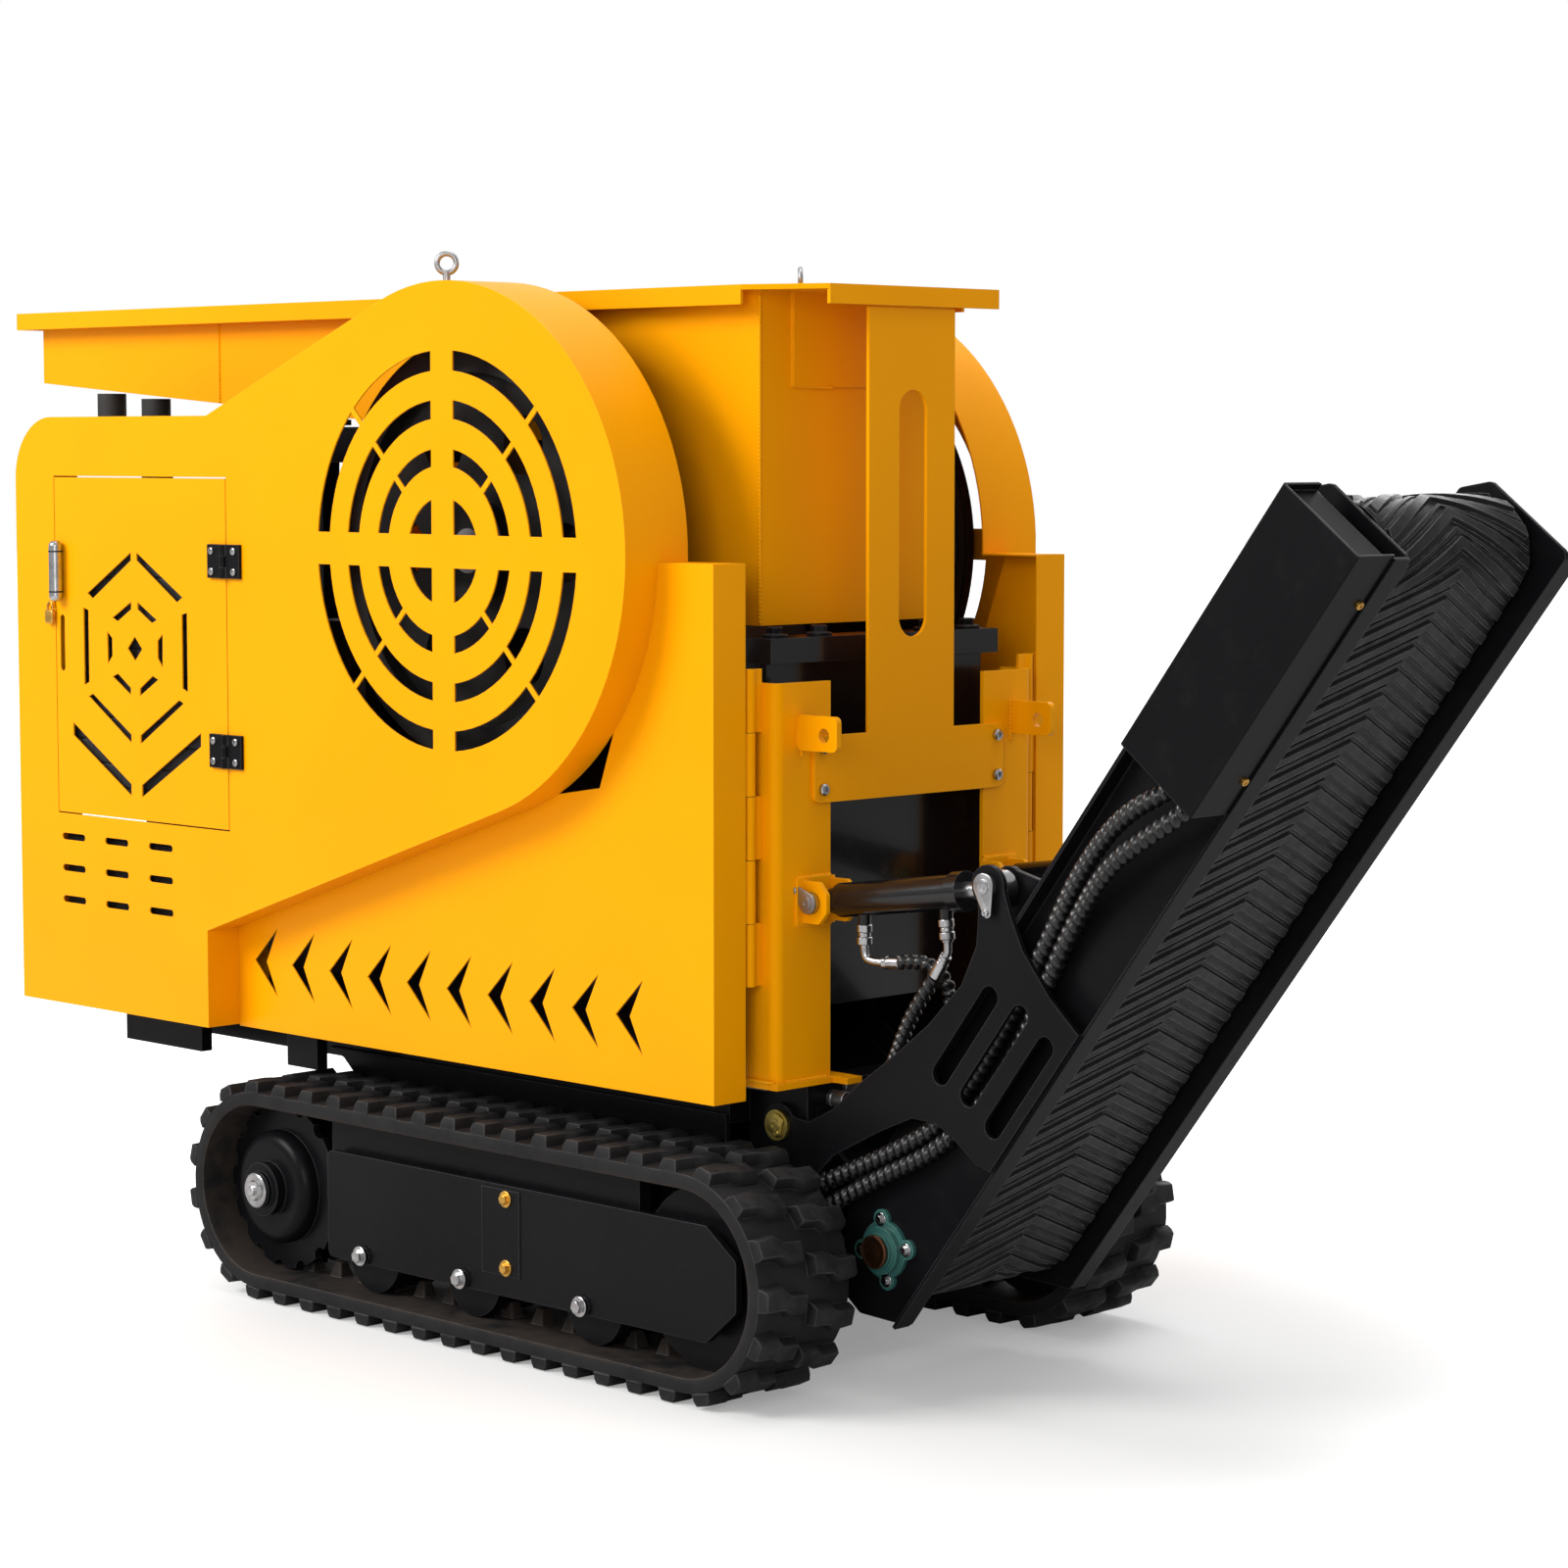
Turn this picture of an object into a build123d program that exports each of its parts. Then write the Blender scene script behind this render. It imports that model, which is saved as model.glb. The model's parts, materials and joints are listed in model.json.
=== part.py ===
from build123d import *

import os
from math import asin, atan2, cos, degrees, hypot, pi, radians, sin

# Compact tracked jaw crusher with a folding discharge conveyor, in millimetres.
# +X points to the discharge end, +Z up, Y = 0 is the plane of symmetry and the near side is -Y.
# The origin is on the ground under the middle of the machine.

# ---- driving dimensions -------------------------------------------------------------------
# Rubber tracks
wheel_z = 185
rear_axle_x = -589
front_axle_x = 439
track_outer_y = 464
track_width = 191
lug_count = 43
lug_height = 20
carcass = 24
roller_x = (-334, -86, 197)
roller_r = 64
roller_z = lug_height + carcass + roller_r + 1.5
# Side covers and their hinge
cover_y = 458
cover_rear_x = -1260
cover_bottom_z = 444
cover_top_z = 1468
drum_x = -99
drum_z = 1255
drum_r = 418
sheet = 3
drum_inner_y = 330
panel_y = 392.5
panel_front_x = 438
panel_top_z = 1245
step_x = -717
step_z = 608
hinge_x = 431
hinge_y = 311
# Engine door
door_x = (-1142, -654)
door_z = (782, 1364)
door_hinge_z = (913, 1228)
# Hopper
hopper_y = 211
hopper_front_x = 352
hopper_rear_x = -1529
hopper_top_z = 1660
lip = 38
# Crusher
flywheel_r = 337
flywheel_y = (305, 400)
web_half = 22
shaft_r = 35
# Conveyor, seen from the side: the tail drum's axis, the slope and the frame about that line
tail_x = 597
tail_z = 219
slope = 52.4
frame_front = -103
frame_back = 97
frame_end = 1406
head_s = 1330
drum_radius = 66
belt_width = 330
rail_y = 185
flange_y = 217
# Pivots of the folding linkage
pivot_x, pivot_z = 407, 389
base_x, base_z = 486, 736
rod_x, rod_z = 831.5, 788
lift_y = 200

loop_length = 2 * (front_axle_x - rear_axle_x) + 2 * pi * (wheel_z - lug_height)
track_y = track_outer_y - track_width / 2
conveyor_plane = Plane(
    origin=(tail_x, 0, tail_z),
    x_dir=(cos(radians(slope)), 0, sin(radians(slope))),
    z_dir=(0, -1, 0),
)


# ---- helpers ------------------------------------------------------------------------------
def block(x, y, z, mode=Mode.ADD):
    """Box between two X, two Y and two Z positions."""
    middle = tuple((low + high) / 2 for low, high in (x, y, z))
    with Locations(middle):
        Box(x[1] - x[0], y[1] - y[0], z[1] - z[0], mode=mode)


def plate(points, y, view=Plane.XZ, round_by=0, mode=Mode.ADD):
    """Flat plate with a side-view outline, between two Y positions."""
    with BuildSketch(view.offset(-y[0])) as outline:
        with BuildLine():
            Polyline(*points, close=True)
        make_face()
        if round_by:
            fillet(outline.vertices(), radius=round_by)
    extrude(outline.sketch, amount=y[0] - y[1], mode=mode)


def rod(at, radius, y, view=Plane.XZ, mode=Mode.ADD):
    """Round bar or hole along Y, at a point of the side view."""
    with BuildSketch(view.offset(-y[0])) as section:
        with Locations(at):
            Circle(radius)
    extrude(section.sketch, amount=y[0] - y[1], mode=mode)


def far_twin(near):
    """The far-side copy of a near-side piece."""
    with BuildPart() as twin:
        mirror(near.part, about=Plane.XZ)
    return twin


def on_conveyor(along, above):
    """Side-view point, from a distance along the conveyor and one above its drum line."""
    a = radians(slope)
    return (
        tail_x + along * cos(a) - above * sin(a),
        tail_z + along * sin(a) + above * cos(a),
    )


def local(x, z):
    """The opposite: a machine point as (along, above) on the conveyor."""
    a = radians(slope)
    dx, dz = x - tail_x, z - tail_z
    return dx * cos(a) + dz * sin(a), dz * cos(a) - dx * sin(a)


def tangent_point(corner, side):
    """Where the line from a corner touches the drum circle, on one side of its centre."""
    dx, dz = drum_x - corner[0], drum_z - corner[1]
    turn = side * asin(drum_r / hypot(dx, dz))
    heading = atan2(dz, dx) + turn
    reach = (hypot(dx, dz) ** 2 - drum_r**2) ** 0.5
    return corner[0] + reach * cos(heading), corner[1] + reach * sin(heading)


# ---- undercarriage ------------------------------------------------------------------------
def track_place(distance):
    """Location on the outside of the belt carcass, a distance around the loop."""
    straight = front_axle_x - rear_axle_x
    radius = wheel_z - lug_height
    half_turn = pi * radius
    distance %= loop_length
    if distance < straight:
        return rear_axle_x + distance, wheel_z + radius, 0
    distance -= straight
    if distance < half_turn:
        a = distance / radius
        return front_axle_x + radius * sin(a), wheel_z + radius * cos(a), degrees(a)
    distance -= half_turn
    if distance < straight:
        return front_axle_x - distance, wheel_z - radius, 180
    a = (distance - straight) / radius
    return rear_axle_x - radius * sin(a), wheel_z - radius * cos(a), 180 + degrees(a)


with BuildPart() as rubber_track_near:
    with BuildSketch(Plane.XZ.offset(track_outer_y)) as loop:
        with Locations(((rear_axle_x + front_axle_x) / 2, wheel_z)):
            axles = front_axle_x - rear_axle_x
            SlotCenterToCenter(axles, 2 * (wheel_z - lug_height))
            SlotCenterToCenter(axles, 2 * (wheel_z - lug_height - carcass), mode=Mode.SUBTRACT)
    extrude(loop.sketch, amount=-track_width)
    for row, shift in ((-1, 0), (1, 0.5)):
        lug_y = -track_y + row * track_width * 0.27
        places = []
        for lug in range(lug_count):
            x, z, angle = track_place((lug + shift) * loop_length / lug_count)
            places.append(Location((x, lug_y, z), (0, angle, 0)))
        with Locations(*places):
            Box(34, track_width * 0.46, 2 * lug_height)
rubber_track_far = far_twin(rubber_track_near)

beam_y = (-427, -301)
with BuildPart() as track_frames:
    block((-440, 290), beam_y, (188, 262))
    for skid_y in ((-416, -392), (-345, -320)):
        block((-440, 300), skid_y, (262, 318))
    side_points = [(-424, 96), (468, 96), (532, 150), (532, 226), (468, 272), (-424, 272)]
    plate(side_points, (-439, -427), round_by=12)
    plate([(-424, 150), (468, 150), (468, 272), (-424, 272)], (-301, -289))
    rod((front_axle_x, wheel_z), 22, (-427, -301))
    for x in roller_x:
        rod((x, roller_z), 14, (-445, -289))
    # Travel motor inside the drive wheel, with its flange on the frame's tail arm
    block((-505, -424), (-313, -289), (150, 230))
    rod((rear_axle_x, wheel_z), 92, (-325, -280))
    rod((rear_axle_x, wheel_z), 30, (-440, -325))
    mirror(about=Plane.XZ)


def wheel(centre, profile, bore):
    """Wheel turned about Y: profile pairs are (radius, |y| from, |y| to), on the near side."""
    with BuildPart() as turned:
        for radius, y0, y1 in profile:
            rod(centre, radius, (-y1, -y0))
        rod(centre, bore, (-track_outer_y, -260), mode=Mode.SUBTRACT)
    return turned


tread = wheel_z - lug_height - carcass - 2
with BuildPart() as sprocket_near:
    hub = (rear_axle_x, wheel_z)
    rod(hub, tread, (-402, -334))
    rod(hub, 95, (-432, -402))
    fillet(sprocket_near.edges().group_by(Axis.Y)[0], radius=22)
    rod(hub, 45, (-450, -430))
    rod(hub, 31, (-458, -450))
    rod(hub, 30.06, (-441, -334), mode=Mode.SUBTRACT)
    with BuildSketch(Plane.XZ.offset(402)) as gullets:
        with Locations(hub):
            with PolarLocations(tread + 4, 15):
                Circle(15)
    extrude(gullets.sketch, amount=-68, mode=Mode.SUBTRACT)
    with BuildSketch(Plane.XZ.offset(389)) as horn_groove:
        with Locations(hub):
            Circle(tread + 5)
            Circle(104, mode=Mode.SUBTRACT)
    extrude(horn_groove.sketch, amount=-41, mode=Mode.SUBTRACT)
sprocket_far = far_twin(sprocket_near)

idler_near = wheel(
    (front_axle_x, wheel_z),
    ((tread, 324, 348), (tread, 389, 408), (100, 348, 389), (48, 312, 420)),
    22.06,
)
idler_far = far_twin(idler_near)


def roller_pair(x):
    """Bottom rollers of both tracks, on one axle line."""
    profile = ((roller_r, 316, 346), (roller_r, 390, 416), (34, 346, 390))
    single = wheel((x, roller_z), profile, 14.06)
    with BuildPart() as pair:
        add(single.part)
        mirror(about=Plane.XZ)
    return pair


track_rollers = [roller_pair(x) for x in roller_x]

# ---- chassis ------------------------------------------------------------------------------
deck_top = 441
channel_y = 255
with BuildPart() as main_frame:
    block((-1236, 330), (-channel_y, -205), (385, deck_top))
    block((330, 455), (-212, -190), (340, 455))
    fillet(main_frame.edges().filter_by(Axis.Y).group_by(Axis.Z)[0].sort_by(Axis.X)[-1], radius=50)
    for x in (-1236, -860, -430):
        block((x, x + 60), (-205, 0), (385, deck_top))
    block((40, 90), (-205, 0), (385, deck_top))
    block((398, 455), (-212, 0), (415, 455))
    for x in (-330, 120):
        block((x, x + 70), (-289, 0), (190, 255))
        block((x, x + 70), (-245, -215), (255, 385))
    # Engine deck, rear channel and hose bulkhead
    block((-1236, -300), (-330, 0), (deck_top - 6, deck_top))
    block((-1100, -880), (-352, -330), (374, deck_top))
    block((-640, -560), (-352, -330), (378, deck_top))
    block((322, 334), (-222, -190), (215, 340))
    mirror(about=Plane.XZ)
    rod((pivot_x, pivot_z), 16, (-260, 260), mode=Mode.SUBTRACT)
    for side in (-1, 1):
        fillet(
            main_frame.edges().filter_by(Axis.Z).sort_by_distance((-1236, side * 330, 438))[0],
            radius=30,
        )

# Skirts on the channels, down to between the tracks
skirt_thickness = 8
with BuildPart() as belly_skirts:
    skirt = [(-640, 400), (-600, 385), (-520, 318), (330, 318), (330, 400)]
    plate(skirt, (-channel_y - skirt_thickness, -channel_y))
    mirror(about=Plane.XZ)

# Angle-section posts, open inward and rearward, on their feet
post_wall = 8
post_centre = (432, -230)
post_size = (64, 116)
with BuildPart() as front_posts:
    with BuildSketch(Plane.XY.offset(465)) as angle:
        with Locations(post_centre):
            Rectangle(*post_size)
        fillet(angle.vertices().sort_by(Axis.Y)[:2].sort_by(Axis.X)[-1], radius=16)
        with Locations((post_centre[0] - post_wall, post_centre[1] + post_wall)):
            Rectangle(*post_size, mode=Mode.SUBTRACT)
    extrude(angle.sketch, amount=601)
    block((398, 470), (-292, -172), (455, 465))
    block((398, 500), (-172, -140), (455, 465))
    with Locations((486, -156, 460)):
        Cylinder(7, 30, mode=Mode.SUBTRACT)
    mirror(about=Plane.XZ)

with BuildPart() as lock_ears:
    plate([(464, 965), (548, 965), (548, 1018), (464, 1018)], (-245, -235), round_by=10)
    rod((521, 989), 11, (-246, -234), mode=Mode.SUBTRACT)
    mirror(about=Plane.XZ)

# Fixed knuckles, leaf and pin of the side covers' hinges
hinge_z = (611, 1088)
knuckle = (hinge_z[1] - hinge_z[0]) / 5
with BuildPart() as post_hinges:
    for index in (0, 2, 4):
        low = hinge_z[0] + index * knuckle
        with Locations((hinge_x, -hinge_y, low + knuckle / 2)):
            Cylinder(9, knuckle - 1)
        block((428, 434), (-hinge_y, -288), (low + 0.5, low + knuckle - 0.5))
    with Locations((hinge_x, -hinge_y, sum(hinge_z) / 2)):
        Cylinder(5, 476)
    mirror(about=Plane.XZ)

with BuildPart() as yoke_plate:
    with BuildSketch(Plane.YZ.offset(464)) as tee:
        with Locations((0, 933.5)):
            RectangleRounded(424, 101, 12)
        with Locations((0, 1302)):
            Rectangle(191, 652)
        inner = tee.vertices().filter_by(lambda v: abs(abs(v.Y) - 95.5) < 1 and v.Z < 1000)
        fillet(inner, radius=14)
        with Locations((2, 1315)):
            SlotOverall(377, 62, rotation=90, mode=Mode.SUBTRACT)
    extrude(tee.sketch, amount=6)

bracket_eye = [(464, 704), (500, 704), (516, 722), (516, 750), (500, 768), (464, 768)]
with BuildPart() as cylinder_brackets:
    for y in ((-234, -226), (-174, -166)):
        plate(bracket_eye, y, round_by=6)
    block((464, 468), (-248, -166), (700, 772))
    rod((base_x, base_z), 12, (-240, -160), mode=Mode.SUBTRACT)
    mirror(about=Plane.XZ)

with BuildPart() as chassis_pins:
    rod((base_x, base_z), 11.95, (-242, -160))
    rod((base_x, base_z), 17, (-242, -235))
    rod((pivot_x, pivot_z), 15.95, (-232, -186))
    rod((pivot_x, pivot_z), 24, (-232, -225.5))
    mirror(about=Plane.XZ)

# ---- hopper and feeder --------------------------------------------------------------------
seam_x = -994
floor_rear_z = 1533
floor_seam_z = 1492
mouth_x = -60
floor_mouth_z = floor_seam_z + (mouth_x - seam_x) * (floor_seam_z - floor_rear_z) / (
    seam_x - hopper_rear_x
)
hopper_wall = 8
wall_top = hopper_top_z - hopper_wall
rim_rear_x = hopper_rear_x - 29
rim_shoulder_x = 349
rim_front_x = 478
rim_front_y = 188
rim_y = hopper_y + lip
rim_turn = 6
turn_z = (hopper_top_z - 30, wall_top)
with BuildPart() as hopper:
    side = [
        (hopper_rear_x, floor_rear_z),
        (seam_x, floor_seam_z),
        (mouth_x, floor_mouth_z),
        (mouth_x + 60, 1146),
        (hopper_front_x, 1146),
        (hopper_front_x, wall_top),
        (hopper_rear_x, wall_top),
    ]
    plate(side, (-hopper_y, -hopper_y + hopper_wall))
    mirror(about=Plane.XZ)
    inside = (-hopper_y + hopper_wall, hopper_y - hopper_wall)
    block((hopper_front_x - hopper_wall, hopper_front_x), inside, (1146, wall_top))
    block((hopper_rear_x, hopper_rear_x + hopper_wall), inside, (floor_rear_z, wall_top))
    floor = [
        (hopper_rear_x, floor_rear_z),
        (mouth_x, floor_mouth_z),
        (mouth_x, floor_mouth_z + 10),
        (hopper_rear_x, floor_rear_z + 10),
    ]
    plate(floor, inside)
    with BuildSketch(Plane.XY.offset(wall_top)) as rim:
        with BuildLine():
            Polyline(
                (rim_rear_x, -rim_y),
                (rim_shoulder_x, -rim_y),
                (rim_front_x, -rim_front_y),
                (rim_front_x, rim_front_y),
                (rim_shoulder_x, rim_y),
                (rim_rear_x, rim_y),
                close=True,
            )
        make_face()
    extrude(rim.sketch, amount=hopper_wall)
    for y in (-rim_y, rim_y - rim_turn):
        block((rim_rear_x, rim_shoulder_x), (y, y + rim_turn), turn_z)
    for x, half in ((rim_rear_x, rim_y), (rim_front_x - rim_turn, rim_front_y)):
        block((x, x + rim_turn), (-half, half), turn_z)
    mouth = (hopper_rear_x + hopper_wall, hopper_front_x - hopper_wall)
    block(mouth, inside, (wall_top, hopper_top_z), mode=Mode.SUBTRACT)
    # Doubler plate on the front wall
    block((hopper_front_x, hopper_front_x + 6), (-144, 144), (1508, wall_top))

deck_z = 1420
mount_x = (-1350, -1215, -700)


def floor_z(x):
    """Underside of the hopper's sloping floor."""
    return floor_rear_z + (x - hopper_rear_x) * (floor_seam_z - floor_rear_z) / (
        seam_x - hopper_rear_x
    )


with BuildPart() as feeder_mounts:
    for x in mount_x:
        with Locations((x, -hopper_y + 24, (deck_z + 30 + floor_z(x)) / 2 - 2)):
            Cylinder(26, floor_z(x) - deck_z - 40)
        with Locations((x, -hopper_y + 24, deck_z + 35)):
            Cylinder(14, 10)
    mirror(about=Plane.XZ)

with BuildPart() as feeder_frame:
    block((-1390, -560), (-215, -165), (deck_z - 30, deck_z + 30))
    for x in (-1230, -600):
        block((x, x + 40), (-210, -170), (deck_top, deck_z - 30))
        block((x, x + 40), (-170, 0), (deck_z - 30, deck_z + 10))
    mirror(about=Plane.XZ)

# ---- crusher ------------------------------------------------------------------------------
cheek_y = 240
toggle_z = 690
with BuildPart() as crusher_frame:
    cheek = [
        (-250, deck_top), (395, deck_top), (395, 1090), (300, 1140), (60, 1140),
        (20, 1330), (-30, 1420), (-170, 1420), (-230, 1330), (-250, 1100),
    ]
    plate(cheek, (-cheek_y, -cheek_y + 22))
    for z in (620, 860):
        block((-250, 395), (-cheek_y - 18, -cheek_y), (z, z + 22))
    mirror(about=Plane.XZ)
    across = (-cheek_y + 22, cheek_y - 22)
    block((350, 395), across, (560, 1090))
    block((-250, -215), across, (560, 900))
    block((-215, -170), (-120, 120), (toggle_z - 40, toggle_z + 40))
    block((352, 419), (-254, 254), (1092, 1130))
    rod((drum_x, drum_z), 62, (-cheek_y - 2, cheek_y + 2), mode=Mode.SUBTRACT)

with BuildPart() as shaft_bearings:
    rod((drum_x, drum_z), 105, (-cheek_y - 62, -cheek_y))
    block((drum_x - 135, drum_x + 135), (-cheek_y - 50, -cheek_y), (drum_z - 105, drum_z - 60))
    rod((drum_x, drum_z), shaft_r + 0.06, (-cheek_y - 63, -cheek_y + 1), mode=Mode.SUBTRACT)
    fillet(shaft_bearings.edges().filter_by(GeomType.CIRCLE).group_by(Axis.Y)[0], radius=8)
    mirror(about=Plane.XZ)

with BuildPart() as eccentric_shaft:
    rod((drum_x, drum_z), shaft_r, (-flywheel_y[1] - 8, flywheel_y[1] + 8))
    rod((drum_x, drum_z), 48, (-cheek_y + 26, cheek_y - 26))

flywheel_middle = sum(flywheel_y) / 2
with BuildPart() as flywheel_near:
    rod((drum_x, drum_z), flywheel_r, (-flywheel_y[1], -flywheel_y[0]))
    for recess in (
        (-flywheel_y[1], -flywheel_middle - web_half),
        (-flywheel_middle + web_half, -flywheel_y[0]),
    ):
        rod((drum_x, drum_z), flywheel_r - 60, recess, mode=Mode.SUBTRACT)
    rod((drum_x, drum_z), 78, (-flywheel_y[1] - 2, -flywheel_y[0]))
    rod((drum_x, drum_z), shaft_r, (-flywheel_y[1] - 9, -flywheel_y[0] + 3), mode=Mode.SUBTRACT)
    with BuildSketch(Plane.XZ.offset(flywheel_y[1] + 7)) as lightening:
        with Locations((drum_x, drum_z)):
            with PolarLocations(190, 6):
                Circle(46)
    extrude(lightening.sketch, amount=-110, mode=Mode.SUBTRACT)
    fillet(
        flywheel_near.edges().filter_by(GeomType.CIRCLE).filter_by(
            lambda edge: edge.radius > flywheel_r - 1
        ),
        radius=6,
    )

groove_r = flywheel_r - 13
pulley_x, pulley_z, pulley_r = -760, 800, 80
belt_lines = (332, 352, 372)
with BuildPart() as flywheel_far:
    mirror(flywheel_near.part, about=Plane.XZ)
    for y in belt_lines:
        with BuildSketch(Plane.XZ.offset(-y + 8)) as ring:
            with Locations((drum_x, drum_z)):
                Circle(flywheel_r + 5)
                Circle(groove_r, mode=Mode.SUBTRACT)
        extrude(ring.sketch, amount=-16, mode=Mode.SUBTRACT)

with BuildPart() as engine_pulley:
    rod((pulley_x, pulley_z), pulley_r + 12, (belt_lines[0] - 12, belt_lines[-1] + 12))
    for y in belt_lines:
        with BuildSketch(Plane.XZ.offset(-y + 8)) as ring:
            with Locations((pulley_x, pulley_z)):
                Circle(pulley_r + 20)
                Circle(pulley_r, mode=Mode.SUBTRACT)
        extrude(ring.sketch, amount=-16, mode=Mode.SUBTRACT)
    rod((pulley_x, pulley_z), 24, (250, belt_lines[0] - 12))

belt_gap = 0.6
belt_reach = hypot(drum_x - pulley_x, drum_z - pulley_z)
belt_view = Plane(
    origin=(pulley_x, 0, pulley_z),
    x_dir=(drum_x - pulley_x, 0, drum_z - pulley_z),
    z_dir=(0, -1, 0),
)
wrap = degrees(asin((groove_r - pulley_r) / belt_reach))
with BuildPart() as drive_belts:
    for y in belt_lines:
        with BuildSketch(belt_view.offset(-y + 6)) as belt_loop:
            for grow, mode in ((9 + belt_gap, Mode.ADD), (belt_gap, Mode.SUBTRACT)):
                small, large = pulley_r + grow, groove_r + grow
                lean = radians(90 + wrap)
                with BuildLine():
                    start = (small * cos(lean), small * sin(lean))
                    end = (belt_reach + large * cos(lean), large * sin(lean))
                    Line(start, end)
                    CenterArc((belt_reach, 0), large, 90 + wrap, -180 - 2 * wrap)
                    Line((end[0], -end[1]), (start[0], -start[1]))
                    CenterArc((0, 0), small, -90 - wrap, -180 + 2 * wrap)
                make_face(mode=mode)
        extrude(belt_loop.sketch, amount=-12)

jaw_y = 196
jaw_top = (-6, 1166)
jaw_tip = (262, 612)
with BuildPart() as swing_jaw:
    rod((drum_x, drum_z), 118, (-jaw_y, jaw_y))
    jaw = [jaw_top, jaw_tip, (216, 575), (165, 640), (60, 800), (-150, 1150)]
    plate(jaw, (-jaw_y, jaw_y))
    rod((drum_x, drum_z), 48.06, (-jaw_y, jaw_y), mode=Mode.SUBTRACT)
    block((60, 130), (-122, 122), (toggle_z - 45, toggle_z + 45))

with BuildPart() as swing_jaw_plate:
    run_x, run_z = jaw_tip[0] - jaw_top[0], jaw_tip[1] - jaw_top[1]
    out_x, out_z = (26 * part / hypot(run_x, run_z) for part in (-run_z, run_x))
    outer_face = [(x + out_x, z + out_z) for x, z in (jaw_tip, jaw_top)]
    plate([jaw_top, jaw_tip, *outer_face], (-jaw_y, jaw_y))

with BuildPart() as fixed_jaw_plate:
    block((322, 350), across, (575, 1088))
    for rib in range(9):
        y = -176 + rib * 44
        block((314, 322), (y - 10, y + 10), (585, 1078))

with BuildPart() as toggle_plate:
    block((-169.5, 48), (-110, 110), (toggle_z - 13, toggle_z + 13))

with BuildPart() as discharge_chute:
    chute = [(150, 520), (490, 268), (496, 276), (156, 528)]
    plate(chute, (-158, 158))
    for y in (-158, 150):
        plate([(150, 520), (490, 268), (496, 322), (156, 580)], (y, y + 8))
    block((200, 240), (-218, -158), (500, 540))
    block((200, 240), (158, 218), (500, 540))

# ---- power pack ---------------------------------------------------------------------------
with BuildPart() as diesel_engine:
    block((-1130, -680), (-160, 160), (560, 860))
    block((-1090, -720), (-110, 110), (860, 1010))
    block((-1110, -700), (-120, 120), (470, 560))
    block((-800, -720), (160, 250), (730, 870))
    for x in (-1060, -780):
        block((x, x + 50), (-200, 200), (deck_top, 500))
    rod((-930, 700), 60, (-300, -160))
    with Locations((-905, 0, 1060)):
        Cylinder(55, 100)
    fillet(diesel_engine.edges().filter_by(Axis.Z).group_by(SortBy.LENGTH)[-1], radius=20)

with BuildPart() as radiator:
    block((-1225, -1165), (-165, 165), (deck_top, 1000))
    for row in range(12):
        z = 530 + row * 38
        block((-1229, -1225), (-150, 150), (z, z + 14))

with BuildPart() as fluid_tanks:
    block((-540, -330), (-200, -10), (470, 800))
    block((-540, -330), (10, 200), (470, 800))
    fillet(fluid_tanks.edges().filter_by(Axis.Z), radius=25)
    for y in (-105, 105):
        with Locations((-435, y, 812)):
            Cylinder(34, 24)
        block((-520, -350), (y - 30, y + 30), (deck_top, 470))

# ---- side covers --------------------------------------------------------------------------
corner_r = 108
upper_tangent = tangent_point((-704, cover_top_z), 1)
lower_tangent = tangent_point((step_x, step_z), -1)


def cover_outline():
    """Side-view edge of the upper cover: engine bay, slope, drum, and back along the step."""
    high = degrees(atan2(upper_tangent[1] - drum_z, upper_tangent[0] - drum_x))
    low = degrees(atan2(lower_tangent[1] - drum_z, lower_tangent[0] - drum_x))
    with BuildSketch() as shape:
        with BuildLine():
            Line((cover_rear_x, cover_bottom_z), (cover_rear_x, cover_top_z - corner_r))
            CenterArc((cover_rear_x + corner_r, cover_top_z - corner_r), corner_r, 180, -90)
            Line((cover_rear_x + corner_r, cover_top_z), (-704, cover_top_z))
            Line((-704, cover_top_z), upper_tangent)
            CenterArc((drum_x, drum_z), drum_r, high, low - high)
            Line(lower_tangent, (step_x, step_z))
            Line((step_x, step_z), (step_x, cover_bottom_z))
            Line((step_x, cover_bottom_z), (cover_rear_x, cover_bottom_z))
        make_face()
    return shape.sketch


def ring_grille():
    """Three rings of slots and a hub of four, parted by a cross and by diagonal ribs."""
    with BuildSketch() as rings:
        with Locations((drum_x, drum_z)):
            for outer, inner in ((311, 280), (235, 206), (160, 133), (84, 27)):
                Circle(outer)
                Circle(inner, mode=Mode.SUBTRACT)
            Rectangle(52, 700, mode=Mode.SUBTRACT)
            Rectangle(700, 52, mode=Mode.SUBTRACT)
        with Locations((drum_x, drum_z)):
            with PolarLocations(220, 4, start_angle=45):
                Rectangle(220, 9, mode=Mode.SUBTRACT)
    return rings.sketch


cover_view = Plane.XZ.offset(cover_y)
with BuildPart() as side_cover_near:
    with BuildSketch(cover_view) as skin:
        add(cover_outline())
        add(ring_grille(), mode=Mode.SUBTRACT)
        with Locations(((door_x[0] + door_x[1]) / 2, (door_z[0] + door_z[1]) / 2)):
            Rectangle(door_x[1] - door_x[0] + 5, door_z[1] - door_z[0] + 5, mode=Mode.SUBTRACT)
        with Locations((-973, 684)):
            with GridLocations(127, 55, 3, 3):
                SlotOverall(68, 12, mode=Mode.SUBTRACT)
    extrude(skin.sketch, amount=-sheet)
    with BuildSketch(cover_view) as band:
        add(cover_outline())
        offset(amount=-sheet, mode=Mode.SUBTRACT)
    extrude(band.sketch, amount=panel_y - cover_y)
    with BuildSketch(Plane.XZ.offset(panel_y)) as deep:
        add(cover_outline())
        offset(amount=-sheet, mode=Mode.SUBTRACT)
        with Locations((500, 0)):
            Rectangle(2 * (500 - step_x), 2 * panel_top_z, mode=Mode.SUBTRACT)
    extrude(deep.sketch, amount=drum_inner_y - panel_y)
side_cover_far = far_twin(side_cover_near)

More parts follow.
